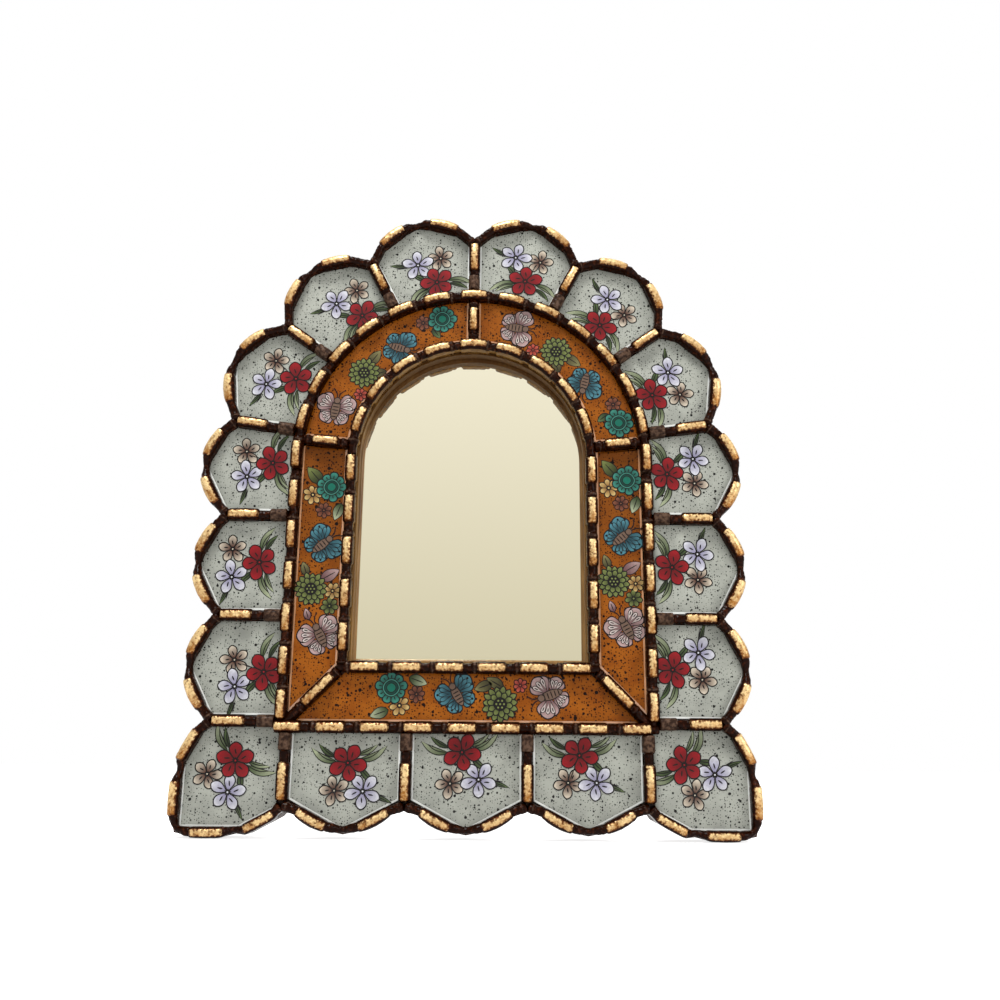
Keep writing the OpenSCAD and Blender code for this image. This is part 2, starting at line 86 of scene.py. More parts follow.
plan_zero = middle_mm("middle_ridge_bottom")[2]
board_face = -box_mm("base_board")[0][1]
glass_face = -box_mm("petal_glass_9")[0][1]
crown = -box_mm("middle_ridge_bottom")[0][1]
mirror_face = -box_mm("mirror_pane")[0][1]
band_r = middle_mm("middle_ridge_right")[0]
inner_r = middle_mm("inner_ridge_right")[0]
inner_rise = middle_mm("inner_ridge_bottom")[2] - plan_zero
spring = box_mm("inner_ridge_right")[1][2] - plan_zero
hub = np.array([0, spring])
bar_w = np.diff([c[2] for c in box_mm("middle_ridge_bottom")])[0]
bar_h = crown - board_face
print(f"plan in mm: middle ridge at {band_r:.1f}, inner ridge at {inner_r:.1f}, hub at {spring:.1f}")
print(f"a bar is {bar_w:.1f} mm wide and {bar_h:.1f} mm high")


def to_model(points):
    """Plan points (x, y, z) in mm to the model's own axes in metres: (x, -z, y + plan_zero)."""
    x, y, z = np.moveaxis(np.asarray(points, float), -1, 0)
    return np.stack([x, -z, y + plan_zero], -1) * MM


def unit(angle):
    """The plan's unit vector (cos, sin) at an angle in degrees, counterclockwise from x."""
    return np.stack([np.cos(np.radians(angle)), np.sin(np.radians(angle))], -1)


# %% [markdown]
# A new piece joins the scene, takes its finishes, and rides on the frame, which is the body that
# doesn't move. It also hides the solid pieces that it takes the place of. Before that its mesh is
# closed up, so that a seam or a pointed end has one point where several lay.

# %% Close up and place a piece
MERGE, NO_LENGTH = 1e-7, 1e-8


def close_up(mesh, merge=True, outwards=True):
    """Merges points that coincide, drops faces without area and turns the faces outwards."""
    work = bmesh.new()
    work.from_mesh(mesh)
    if merge:
        bmesh.ops.remove_doubles(work, verts=work.verts, dist=MERGE)
        bmesh.ops.dissolve_degenerate(work, edges=work.edges, dist=NO_LENGTH)
    if outwards:
        bmesh.ops.recalc_face_normals(work, faces=work.faces)
    work.to_mesh(mesh)
    work.free()


def place(piece, finishes, replaces=(), slot=None):
    """Links a piece to the scene, gives it its finishes and lets it ride on the frame."""
    bpy.context.scene.collection.objects.link(piece)
    for material in finishes:
        piece.data.materials.append(material)
    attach(piece, "frame")
    if replaces:
        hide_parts(*replaces)
    return piece


# %% [markdown]
# Every new surface here is a grid: a formula gives a point for each row and column, and quads join
# the neighbours. One small class gathers grids, with numbers or colours on their points, and turns
# them into one mesh.

# %% A heap of grids that becomes one piece


class Heap:
    """Gathers grids of plan points and builds one mesh from them."""

    def __init__(self):
        self.points, self.quads, self.numbers, self.count = [], [], {}, 0

    def add(self, grid, wrap=False, **numbers):
        """Adds a grid of rows x columns points. A quad joins the points (r, c), (r, c + 1),
        (r + 1, c + 1) and (r + 1, c), and wrap joins the last column to the first. numbers: what the
        points carry, one value or colour for each, or for each row."""
        rows, cols = grid.shape[:2]
        first = np.arange(rows - 1)[:, None] * cols
        col = np.arange(cols if wrap else cols - 1)[None, :]
        after = (col + 1) % cols
        corners = [first + col, first + after, first + cols + after, first + cols + col]
        self.quads.append(np.stack(corners, -1).reshape(-1, 4) + self.count)
        self.points.append(grid.reshape(-1, 3))
        for name, value in numbers.items():
            value = np.asarray(value, float)
            full = np.broadcast_to(value, (rows, cols) + value.shape[2:])
            self.numbers.setdefault(name, []).append(full.reshape((rows * cols,) + value.shape[2:]))
        self.count += rows * cols

    def build(self, name, finish, front=False, replaces=(), slot=None):
        """Makes the mesh. front turns every face towards the viewer: a quad is turned over if the
        cross product of its diagonals points away. Else the faces point outwards."""
        mesh = bpy.data.meshes.new(name)
        points, quads = to_model(np.concatenate(self.points)), np.concatenate(self.quads)
        if front:
            a, b, c, d = (points[quads[:, i]] for i in range(4))
            away = np.cross(c - a, d - b)[:, 1] > 0
            quads[away] = quads[away][:, ::-1]
        mesh.from_pydata(points.tolist(), [], quads.tolist())
        for key, parts in self.numbers.items():
            values = np.concatenate(parts)
            if values.ndim == 1:
                mesh.attributes.new(key, "FLOAT", "POINT").data.foreach_set("value", values)
            else:
                rgba = np.concatenate([values, np.ones((len(values), 1))], 1)
                colours = mesh.attributes.new(key, "FLOAT_COLOR", "POINT")
                colours.data.foreach_set("color", rgba.ravel())
        close_up(mesh, outwards=not front)
        mesh.polygons.foreach_set("use_smooth", np.full(len(mesh.polygons), not front))
        return place(bpy.data.objects.new(name, mesh), [finish], replaces, slot)


trial = Heap()
trial.add(np.zeros((3, 4, 3)), wrap=True)
print("a wrapped grid of 3 x 4 points has", len(trial.quads[0]), "quads")

# %% [markdown]
# Materials are written as sums. A small class wraps one socket of a node tree, so that the
# expression a * b + c adds the Math nodes by itself.

# %% Numbers in a finish


class Number:
    """One number or colour in a finish. Arithmetic on it adds Math nodes."""

    def __init__(self, finish, socket):
        self.finish, self.socket = finish, socket

    def math(self, operation, *values, **settings):
        """Adds a Math node that does one operation on the values."""
        settings["operation"] = operation
        return self.finish.node("Math", settings, dict(enumerate(values)))

    def __add__(self, other):
        return self.math("ADD", self, other)

    def __sub__(self, other):
        return self.math("SUBTRACT", self, other)

    def __rsub__(self, other):
        return self.math("SUBTRACT", other, self)

    def __mul__(self, other):
        return self.math("MULTIPLY", self, other)

    __radd__, __rmul__ = __add__, __mul__

    def clamp(self):
        """Kept between 0 and 1."""
        return self.math("ADD", self, 0.0, use_clamp=True)


# %% [markdown]
# A finish is one material with one Principled shader. Every node other than sums comes from one
# method, and the patterns of this mirror are short methods on top of it: cloudy noise, round
# specks, a smooth ramp, and numbers that a mesh carries on its points.

# %% Finishes
SPECK_WOBBLE, SPECK_EDGE = 0.2, 0.07
MIX_FACTOR, MIX_A, MIX_B, MIX_RESULT = 0, 6, 7, 2


class Finish:
    """A material with one Principled shader and the nodes that feed it."""

    def __init__(self, name, **sockets):
        self.material = bpy.data.materials.new(name)
        self.material.use_nodes = True
        self.tree = self.material.node_tree
        self.shader = self.tree.nodes["Principled BSDF"]
        self.set(**sockets)

    def set(self, **sockets):
        """Sets or links sockets of the shader; Base_Color stands for Base Color."""
        for name, value in sockets.items():
            self.join(self.shader.inputs[name.replace("_", " ")], value)

    def join(self, socket, value):
        """Links a Number to a socket, or sets a plain colour or number on it."""
        if isinstance(value, Number):
            self.tree.links.new(value.socket, socket)
        elif socket.type == "RGBA":
            socket.default_value = (*value, 1.0)
        else:
            socket.default_value = value

    def node(self, kind, settings=None, sockets=None, output=0):
        """Adds a node: its settings first, then the values or links of its sockets."""
        made = self.tree.nodes.new("ShaderNode" + kind)
        for key, value in (settings or {}).items():
            setattr(made, key, value)
        for key, value in (sockets or {}).items():
            self.join(made.inputs[key], value)
        return Number(self, made.outputs[output])

    def where(self, scale=(1, 1, 1)):
        """The place on the object in metres, stretched by scale."""
        spot = self.node("TexCoord", output="Object")
        return self.node("Mapping", {}, {"Vector": spot, "Scale": scale})

    def height(self):
        """How high a point lies on the object, in metres: the Z of its place."""
        return self.node("SeparateXYZ", {}, {0: self.where()}, "Z")

    def noise(self, size_mm, detail=2.0, stretch=(1, 1, 1)):
        """Cloudy noise between about 0.2 and 0.8, with lumps of that size."""
        sockets = {"Vector": self.where(stretch), "Scale": 1 / (size_mm * MM), "Detail": detail}
        return self.node("TexNoise", {}, sockets)

    def spots(self, cell_mm, share, size_mm):
        """Round specks on the face, one in a share of the cells: 1 where a point lies nearer to the
        cell's own point than the radius, a number from 0 to size that each cell draws."""
        spot = self.node("TexCoord", output="Object")
        face = self.node("Mapping", {}, {"Vector": spot, "Rotation": (np.pi / 2, 0, 0)})
        cells = {"Vector": face, "Scale": 1 / (cell_mm * MM)}
        flat = {"voronoi_dimensions": "2D"}
        away = self.node("TexVoronoi", flat, cells, "Distance")
        away = away + (self.noise(0.5, 1.0) - 0.5) * (SPECK_WOBBLE / cell_mm)
        dice = self.node("SeparateColor", {}, {0: self.node("TexVoronoi", flat, cells, "Color")}, 0)
        radius = (dice - (1 - share)) * (size_mm / cell_mm / share)
        return ((radius - away) * (cell_mm / SPECK_EDGE)).clamp()

    def mix(self, factor, a, b):
        """The colour a * (1 - factor) + b * factor."""
        sockets = {MIX_FACTOR: factor, MIX_A: a, MIX_B: b}
        return self.node("Mix", {"data_type": "RGBA"}, sockets, MIX_RESULT)

    def ramp(self, factor, low, high):
        """0 at low, 1 at high, smooth between."""
        sockets = {"Value": factor, "From Min": low, "From Max": high}
        return self.node("MapRange", {"interpolation_type": "SMOOTHSTEP"}, sockets)

    def read(self, name, output="Fac"):
        """A number or a colour that the mesh carries on its points."""
        return self.node("Attribute", {"attribute_name": name}, {}, output)

    def bump(self, height, depth_mm, strength=1.0):
        """Tilts the surface as if it rose by depth_mm where height goes from 0 to 1."""
        sockets = {"Height": height, "Distance": depth_mm * MM, "Strength": strength}
        self.set(Normal=self.node("Bump", {}, sockets))


# %% [markdown]
# Colours are written as the eye reads them on a screen, from 0 to 255. A shader takes the amount of
# light instead, so one function turns the first into the second.

# %% Tones


def tone(r, g, b):
    """A colour from 0 to 255 as linear values: c / 12.92 where it is dark, else
    ((c + 0.055) / 1.055) ** 2.4."""
    c = np.array([r, g, b]) / 255
    return tuple(np.where(c < 0.04045, c / 12.92, ((c + 0.055) / 1.055) ** 2.4))


print(f"a middle grey, as a shader takes it: {tone(128, 128, 128)[0]:.3f}")

# %% [markdown]
# Reverse painted glass is painted on its back, so its colour lies under a hard, even gloss. A clear
# coat over a dull paint gives that look. The ground is sprayed with dark specks of three sizes. The
# ground edge of each pane carries a thin pale line, a painted glint on the sides that face down or
# outwards. The amber ground has painted shade: darker up the straight sides of the frame, and
# lighter again over the arch.

# %% Glass finishes
UNDER_GLASS = {"Specular_IOR_Level": 0.1, "Coat_Weight": 0.22, "Coat_Roughness": 0.05}
CLOUD_MM, CLOUD_LOW, CLOUD_HIGH = 9.0, 0.3, 0.7
SPECKS = ((1.0, 0.85, 0.27), (1.8, 0.65, 0.44), (4.5, 0.7, 0.66))  # cell, share of cells, radius
PAINTED_SHADE_SHARE, PAINTED_SHADE_END, PAINTED_SHADE_FADE = 0.75, 8.0, 0.7


def painted_ground(name, light, dark, speck, bold=1.0, painted_shade=None):
    """A ground clouded from dark to light, with three sizes of specks, bold times as large. The last
    argument is a tone of painted shade that it takes on up the straight sides, from the sill to the
    spring of the arch."""
    ground = Finish(name, Roughness=0.5, **UNDER_GLASS)
    cloud = ground.ramp(ground.noise(CLOUD_MM, 3.0), CLOUD_LOW, CLOUD_HIGH)
    colour = ground.mix(cloud, dark, light)
    if painted_shade:
        ground.set(Specular_IOR_Level=0.05, Coat_Weight=0.1)
        sill, top = (plan_zero + inner_rise) * MM, (plan_zero + spring) * MM
        # painted shade: darker up the straight sides, fading just above the spring of the arch
        share = ground.ramp(ground.height(), sill, top) * PAINTED_SHADE_SHARE
        shade_fade = ground.ramp(ground.height(), top, top + PAINTED_SHADE_END * MM) * PAINTED_SHADE_FADE
        colour = ground.mix(share * (1 - shade_fade), colour, painted_shade)
    for cell, chance, radius in SPECKS:
        colour = ground.mix(ground.spots(cell, chance, radius * bold), colour, speck)
    ground.set(Base_Color=colour)
    return ground.material


def painted_glint_edge(name, shade):
    """The ring of a pane where the glass is ground down, painted pale as a glint."""
    return Finish(name, Base_Color=shade, Roughness=0.3, Coat_Weight=0.5).material


celadon = painted_ground("celadon_ground", tone(162, 164, 154), tone(146, 148, 139), tone(16, 13, 10))
# the last amber tone is painted shade, laid up the straight sides
AMBER_LIGHT, AMBER_DARK, AMBER_PAINTED_SHADE = tone(153, 85, 19), tone(128, 65, 9), tone(100, 52, 10)
amber = painted_ground("amber_ground", AMBER_LIGHT, AMBER_DARK, tone(14, 4, 1), 1.25, AMBER_PAINTED_SHADE)
# pale rings for the ground edges, painted as glints
glass_rim_glint = painted_glint_edge("glass_rim_glint", tone(244, 246, 240))
amber_rim_glint = painted_glint_edge("amber_rim_glint", tone(206, 150, 108))

paint = Finish("flower_paint", Roughness=0.5, **UNDER_GLASS)
brushed = paint.ramp(paint.noise(1.1, 3.0), 0.3, 0.7)
paint.set(Base_Color=paint.mix(brushed * 0.2, paint.read("colour", "Color"), tone(40, 30, 26)))
print("glass finishes:", celadon.name, amber.name, glass_rim_glint.name, amber_rim_glint.name, paint.material.name)

# %% [markdown]
# The gilt is leaf over a dark red-brown bole. Each ridge mesh carries four numbers: how far a point
# lies inside the edge of its leaf, how high on its bar it lies, and whether it is on a dull plum foot
# or on the bronze flank beside the mirror. Noise frays the leaf. Its painted light makes it lighter
# high on each bar and browner low on it, as if lit from above. Along its edge it is browner too,
# partly worn and partly painted shade where the crown curves away. It has pale and dark spots where
# it creased.

# %% Gilt and bole finish
LEAF_SHADED, LEAF_LIT = tone(148, 97, 42), tone(224, 194, 140)
LEAF_PALE, LEAF_BROWN = tone(238, 218, 170), tone(126, 80, 34)
LEAF_SHADED_END, LEAF_EDGE_WEAR_AND_SHADE = tone(92, 50, 20), tone(84, 44, 18)
BOLE_DARK, BOLE_RED = tone(26, 6, 0), tone(70, 32, 14)
PLUM_DARK, PLUM_LIGHT = tone(42, 28, 21), tone(92, 70, 56)
BRONZE_DARK, BRONZE_LIGHT = tone(84, 56, 25), tone(116, 84, 42)
FRAY_MM, MOTTLE_MM, PATCH_MM, CREASE_MM = 1.1, 0.6, 2.2, 0.8
BOLE_MM, PLUM_MM, BRONZE_MM = 1.6, 1.4, 5.0
LEAF_DEEP, LEAF_METAL = 0.09, 0.5

gilt = Finish("gilt_on_bole", Specular_IOR_Level=0.03, Coat_Weight=0.04, Coat_Roughness=0.06)
fray = gilt.noise(FRAY_MM, 3.0) - 0.5
mottle = gilt.noise(MOTTLE_MM)
inside = gilt.read("leaf") + fray
leaf = gilt.ramp(inside, -0.05, 0.2)
# how high on its bar a point lies, for the painted light
high = gilt.read("upper") + (gilt.noise(PATCH_MM, 3.0) - 0.5) * 2.6

# painted light: the leaf is lighter high on each bar and darker low on it
gold = gilt.mix(gilt.ramp(high, -1.1, 0.9), LEAF_SHADED, LEAF_LIT)
gold = gilt.mix(gilt.ramp(mottle, 0.52, 0.74) * 0.4, gold, LEAF_PALE)
gold = gilt.mix(gilt.ramp(mottle, 0.47, 0.3) * 0.35, gold, LEAF_BROWN)
# painted shade at the low end of each bar
gold = gilt.mix(gilt.ramp(high, -0.8, -1.7), gold, LEAF_SHADED_END)
# browner along the leaf's edge: partly wear, partly painted shade where the crown curves away
gold = gilt.mix(gilt.ramp(inside + fray * 2.4, 1.05, 0.1), gold, LEAF_EDGE_WEAR_AND_SHADE)

bole = gilt.mix(gilt.ramp(gilt.noise(BOLE_MM, 3.0), 0.5, 0.78), BOLE_DARK, BOLE_RED)
foot = gilt.ramp(gilt.read("plum") + fray * 0.8, 0.4, 0.7)
plum = gilt.mix(gilt.ramp(gilt.noise(PLUM_MM, 3.0), 0.36, 0.7), PLUM_DARK, PLUM_LIGHT)
bronze = gilt.mix(gilt.ramp(gilt.noise(BRONZE_MM, 3.0), 0.35, 0.65), BRONZE_DARK, BRONZE_LIGHT)
flank = gilt.ramp(gilt.read("bronze") + fray * 0.6, 0.3, 0.7)
bole = gilt.mix(flank, gilt.mix(foot, bole, plum), bronze)

gilt.set(Base_Color=gilt.mix(leaf, bole, gold), Metallic=leaf * LEAF_METAL)
gilt.set(Roughness=0.18 + leaf * 0.18 + foot * 0.3 + fray * 0.15)
gilt.bump(gilt.noise(CREASE_MM) + mottle * 0.5, LEAF_DEEP)
print("gilt finish:", len(gilt.tree.nodes), "nodes")

# %% [markdown]
# The board is dark stained wood with its grain running up. Long noise, stretched along Z, gives the
# streaks. The liner of the opening is a lacquered bronze brown, duller under the arch and darker
# there with painted shade. The silvering of the mirror has a cream tone with a painted reflection,
# lighter at the top and darker downwards. The back is a plain thin board, and the hanger is plated
# steel.

# %% Wood, mirror and steel finishes
STREAK_MM, STREAK_LONG = 1.6, (1, 1, 0.06)
BAND_MM, BAND_LONG = 14.0, (1, 1, 0.25)
GRAIN_DEEP, WOOD_SHEEN, ARCH_SHEEN = 0.12, 0.2, 0.06
ARCH_SHADE_SHARE, ARCH_PART = 0.85, 0.6


def wood(name, light, dark, roughness, coat, arch=None):
    """Grain: fine noise stretched along Z plus broad noise. arch: the tone of painted shade that it has
    under the arch, from the spring up to ARCH_PART of the arch's radius."""
    grain = Finish(name, Roughness=roughness, Coat_Weight=coat, Coat_Roughness=0.2)
    grain.set(Specular_IOR_Level=ARCH_SHEEN if arch else WOOD_SHEEN)
    broad = grain.noise(BAND_MM, 2.0, BAND_LONG) - 0.5
    streak = grain.noise(STREAK_MM, 4.0, STREAK_LONG) + broad * 0.8
    colour = grain.mix(grain.ramp(streak, 0.3, 0.75), dark, light)
    if arch:
        start, stop = (plan_zero + spring) * MM, (plan_zero + spring + inner_r * ARCH_PART) * MM
        # painted shade under the arch, where the liner faces down
        arch_shade = grain.ramp(grain.height(), start, stop)
        colour = grain.mix(arch_shade * ARCH_SHADE_SHARE, colour, arch)
        grain.set(Coat_Weight=(1 - arch_shade) * coat)
    grain.set(Base_Color=colour)
    grain.bump(streak, GRAIN_DEEP, 0.5)
    return grain.material


board_wood = wood("board_wood", tone(84, 51, 32), tone(42, 23, 15), 0.55, 0.06)
# the third liner tone is painted shade for the underside of the arch
LINER_LIGHT, LINER_DARK, LINER_ARCH_SHADE = tone(144, 108, 58), tone(92, 62, 28), tone(58, 32, 5)
liner_wood = wood("liner_wood", LINER_LIGHT, LINER_DARK, 0.45, 0.45, LINER_ARCH_SHADE)
back_wood = wood("backing_wood", tone(164, 132, 92), tone(138, 106, 70), 0.75, 0.0)

silver = Finish("mirror_glass", Metallic=1.0, Roughness=0.015)
low, high = (corner[2] * MM for corner in box_mm("mirror_pane"))
# painted reflection: the mirror is lighter at its top and darker towards the bottom
rise = silver.node("MapRange", {}, {"Value": silver.height(), "From Min": low, "From Max": high})
silver.set(Base_Color=silver.mix(rise, tone(211, 203, 172), tone(243, 236, 210)))

steel = Finish("plated_steel", Base_Color=tone(150, 148, 142), Metallic=1.0)
steel.set(Roughness=0.26 + steel.noise(0.8, 3.0) * 0.2)
print("wood, mirror and steel:", board_wood.name, liner_wood.name, back_wood.name)

# %% [markdown]
# Six pieces of the solid model already have their final shape, so they stay, and only their plain
# material is exchanged for a finish.

# %% Finishes on the pieces that stay
kept = {
    "base_board": board_wood,
    "mirror_pane": silver.material,
    "backing_board": back_wood,
    "backing_pins": steel.material,
    "hanger_strap": steel.material,
    "hanger_ring": steel.material,
}
for node, finish in kept.items():
    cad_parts[node].data.materials.clear()
    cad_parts[node].data.materials.append(finish)
print("dressed as they are:", *kept)

# %% [markdown]
# A ridge starts as a line on the plan. These helpers measure a line, spread its points evenly, find
# its direction, and make the soft lumps that give a ridge its hand worked surface.

# %% Lines and lumps
LINE_STEP = 0.35


def lumps(points, size, seed, waves=7):
    """Soft bumps of about that size, mostly between -1 and 1: a sum of sine waves in random
    directions, divided by the square root of their number."""
    rng = np.random.default_rng(seed)
    total = np.zeros(points.shape[:-1])
    for _ in range(waves):
        way = rng.normal(size=3)
        way *= rng.uniform(0.7, 1.5) * 2 * np.pi / size / np.linalg.norm(way)
        total += np.sin(points @ way + rng.uniform(0, 2 * np.pi))
    return total / np.sqrt(waves)


def along(line):
    """The distance of each point of a line from its start: the sum of the steps before it."""
    return np.concatenate([[0], np.cumsum(np.linalg.norm(np.diff(line, axis=0), axis=1))])


def headings(line):
    """The unit vector (x, y) along a line at each of its points, and (-y, x), which points left."""
    way = np.gradient(line, axis=0)
    way /= np.maximum(np.linalg.norm(way, axis=1), 1e-9)[:, None]
    return way, np.stack([-way[:, 1], way[:, 0]], 1)


def evenly(line, step=LINE_STEP, soften=0.0):
    """A line's points spread evenly, its corners rounded by a moving average of that length. Both
    ends are carried on straight, so that the average leaves them in place."""
    line = np.asarray(line, float)
    s = along(line)
    fine = np.linspace(0, s[-1], int(s[-1] / step) + 2)
    even = np.stack([np.interp(fine, s, line[:, k]) for k in (0, 1)], 1)
    half = int(soften / step / 2)
    if half:
        before = even[0] - np.arange(half, 0, -1)[:, None] * (even[1] - even[0])
        after = even[-1] + np.arange(1, half + 1)[:, None] * (even[-1] - even[-2])
        long = np.concatenate([before, even, after])
        even = sum(long[k : k + len(even)] for k in range(2 * half + 1)) / (2 * half + 1)
    return even


def straight(a, b):
    """Evenly spread points from a to b."""
    return evenly([a, b])


def arc(radius, start, stop, count=400):
    """Points on an arc about the hub, between two angles: hub + radius * (cos, sin)."""
    return hub + radius * unit(np.linspace(start, stop, count))


print(f"the middle arch is {along(arc(band_r, 0, 180))[-1]:.1f} mm long")

# %% [markdown]
# The ridges look like bamboo: swollen gilt bars with round ends, and between them thinner necks with
# a small bead. The section has straight flanks under a half round crown, and its width and height
# swell wherever a bar lies.

# %% Swellings and section of a ridge
ROUND_END, DOME = 0.9, 0.3
BEAD_PLUM_AND_GLINT, BEAD_RISE, PLUM_RISE = 0.6, 0.5, 0.9
NO_LEAF, PAST_END = -9.0, -0.5
CROWN_TURN = np.linspace(0, 180, 15)


def swelling(s, climb, bars):
    """What the bars make of a ridge at the distances s: how far it swells sideways and rises (0 to
    1), how plum it is, how high it lies on a bar that climbs, and how far inside a leaf's ends. Over
    a bar the swell is share * sqrt(1 - (1 - inside / ROUND_END) ** 2), a quarter circle at its ends,
    and a gilt bar's rise is that times 1 - DOME * (distance from its middle / half) ** 2."""
    swell, rise, plum, upper = np.zeros((4, len(s)))
    leaf_s = np.full_like(s, NO_LEAF)
    for centre, half, share, kind in bars:
        inside = half - abs(s - centre)
        round_end = share * np.sqrt(1 - (1 - np.clip(inside / ROUND_END, 0, 1)) ** 2)
        swell = np.maximum(swell, round_end)
        if kind == "gilt":
            leaf_s = np.maximum(leaf_s, inside)
            # how high on a climbing bar, for the painted light
            upper = np.where(inside > PAST_END, (s - centre) / half * climb, upper)
            rise = np.maximum(rise, round_end * (1 - DOME * ((s - centre) / half) ** 2))
        else:
            block = kind == "plum"
            # a bead takes part of the plum tint: partly its own colour, partly a painted glint
            plum = np.maximum(plum, np.clip(inside, 0, 1) * (1.0 if block else BEAD_PLUM_AND_GLINT))
            rise = np.maximum(rise, round_end * (PLUM_RISE if block else BEAD_RISE))
    return swell, rise, plum, upper, leaf_s


def section(width, height):
    """The section at each point: how far across its 19 points lie, how far up, and how high the
    flanks are. The flanks are straight, and the crown is a half circle of half the width."""
    radius = np.minimum(width / 2, height)[:, None]
    flank = height[:, None] - radius
    turn = np.radians(CROWN_TURN)[None, :]
    ones = np.ones((1, 2))
    across = width[:, None] / 2 * np.concatenate([ones, np.cos(turn), -ones], 1)
    up = [0 * flank, flank / 2, flank + radius * np.sin(turn), flank / 2, 0 * flank]
    return across, np.concatenate(up, 1), flank


trial_bar = (5.0, 2.0, 1.0, "gilt")
print("swell before a bar and on its middle:", swelling(np.array([0.0, 5.0]), 0, [trial_bar])[0])

# %% [markdown]
# The section is carried along a line, and lumps make it hand worked. Each point also gets the
# numbers that the gilt finish reads. The leaf lies on the crown of a bar with rounded corners; on
# the outermost ridges it also runs down the outer flank, unless that faces down: there the dark
# bole is left as painted shade.

# %% Ridge surfaces
NECK_W, NECK_H, END_ROUND = 3.9, bar_h - 2.3, 0.7
LEAF_HALF, LEAF_TURN, FAR = 1.8, 1.1, 99
FLANK_FOLD, FOLD_LEFT, SHADED_FACING_DOWN = [1.6, 1.1], 0.2, -0.6
BIG_LUMP, SMALL_LUMP, SMALL_SHARE = 2.6, 1.3, 0.6
LUMP_LOW, LUMP_MORE = 0.045, 0.05
PUSH_OUT, PUSH_UP, TIP_OVER = 0.5, 0.8, 1.4


def leaf_depth(lengthways, across):
    """How far a point lies inside a leaf's edge, from how far it lies inside each way: LEAF_TURN less
    the cube root of the sum of both shortfalls cubed, which rounds the leaf's corners."""
    shortfall = sum(np.clip(LEAF_TURN - part, 0, FAR) ** 3 for part in (lengthways, across))
    return LEAF_TURN - np.cbrt(shortfall)


def ridge(heap, line, bars, seed, wide=(bar_w, bar_h), narrow=(NECK_W, NECK_H), leaf_half=LEAF_HALF,
          lean=0, bronze=0):
    """Adds a ridge along a line. bars: (centre, half length, swell 0 to 1, kind) in mm along it;
    wide and narrow: the width and the height on a full bar and between bars; lean: 1 or -1 lets the
    leaf run down the left or the right flank too; bronze: 1 or -1 makes that flank bronze. A point
    lies at line + left * across, board_face + up, and lumps push it outwards."""
    s = along(line)
    slope, left = headings(line)
    swell, rise, plum, upper, leaf_s = swelling(s, slope[:, 1], bars)
    end = np.clip(np.minimum(s, s[-1] - s) / END_ROUND, 0, 1)
    close = np.sqrt(1 - (1 - end) ** 2)
    width = (narrow[0] + (wide[0] - narrow[0]) * swell) * close
    height = (narrow[1] + (wide[1] - narrow[1]) * rise) * close
    across, up, flank = section(width, height)
    flat = line[:, None] + left[:, None] * across[..., None]
    grid = np.concatenate([flat, board_face + up[..., None]], 2)
    side = np.sign(across)
    # lumps push the surface out and up, but never past the crown
    crest = (up > flank) * PUSH_UP
    push = np.concatenate([left[:, None] * side[..., None] * PUSH_OUT, crest[..., None]], 2)
    size = (LUMP_LOW + LUMP_MORE * (leaf_s < 0)) * close
    bumps = lumps(grid, BIG_LUMP, seed) + SMALL_SHARE * lumps(grid, SMALL_LUMP, seed + 1)
    grid = grid + push * (size[:, None] * bumps * (up > 0))[..., None]
    grid[..., 2] = np.minimum(grid[..., 2], crown)
    # the leaf: how far over the crown a point lies, in widths, and how far inside the edge
    over = np.concatenate([FLANK_FOLD, abs(CROWN_TURN - 90) * np.pi / 360, FLANK_FOLD[::-1]])
    # a flank that faces down keeps the dark bole, as painted shade
    over = over * np.where((side == lean) & (left[:, 1:] * lean > SHADED_FACING_DOWN), FOLD_LEFT, 1)
    full = np.maximum(width[:, None], 1)
    inside = leaf_depth(*np.broadcast_arrays(leaf_s[:, None], leaf_half - over * full))
    # how high on its bar, for the painted light: along one that climbs, and across one that is level
    upper = upper[:, None] + TIP_OVER * across / full * left[:, 1:]
    flanks = (side == bronze) & (up <= flank)
    heap.add(grid, wrap=True, leaf=inside, plum=plum[:, None], upper=upper, bronze=flanks)


def gilded(node, lengths, **shape):
    """Builds the gilt ridge that replaces a node. lengths: each a line, its bars and a seed."""
    heap = Heap()
    for line, bars, seed in lengths:
        ridge(heap, line, bars, seed, **shape)
    return heap.build(node + "_gilt", gilt.material, replaces=[node], slot="gilt_ridge")


# %% [markdown]
# The middle and inner ridges run round the band of amber glass. Each is an arch and three straight
# lengths, as the solid model has them, and the bars keep the real one's even pitch. The rows on the
# two bottom ridges sit a little off their middle, as on the real one.

# %% Middle and inner ridges
MID_BAR, MID_PITCH, MID_ARCH_BARS, MID_SIDE_BARS, MID_SILL_BARS = 6.0, 18.1, 15, 6, 9
INNER_BAR, INNER_PITCH, INNER_ARCH_BARS, INNER_SIDE_BARS, INNER_SILL_BARS = 6.0, 18.6, 9, 5, 6
INNER_SILL_PITCH, MID_SILL_SHIFT, INNER_SILL_SHIFT = 17.8, -2.2, 1.0
ARCH_LEG, SIDE_GAP = 7.0, 1.0
BEAD, BEAD_PLACE = (1.3, 0.8, "bead"), 0.6


def row(count, first, pitch, half):
    """Gilt bars at first, first + pitch and so on, with a small dark bead between each two."""
    bars = [(first + i * pitch, half, 1.0, "gilt") for i in range(count)]
    return bars + [(first + (i + BEAD_PLACE) * pitch, *BEAD) for i in range(-1, count)]


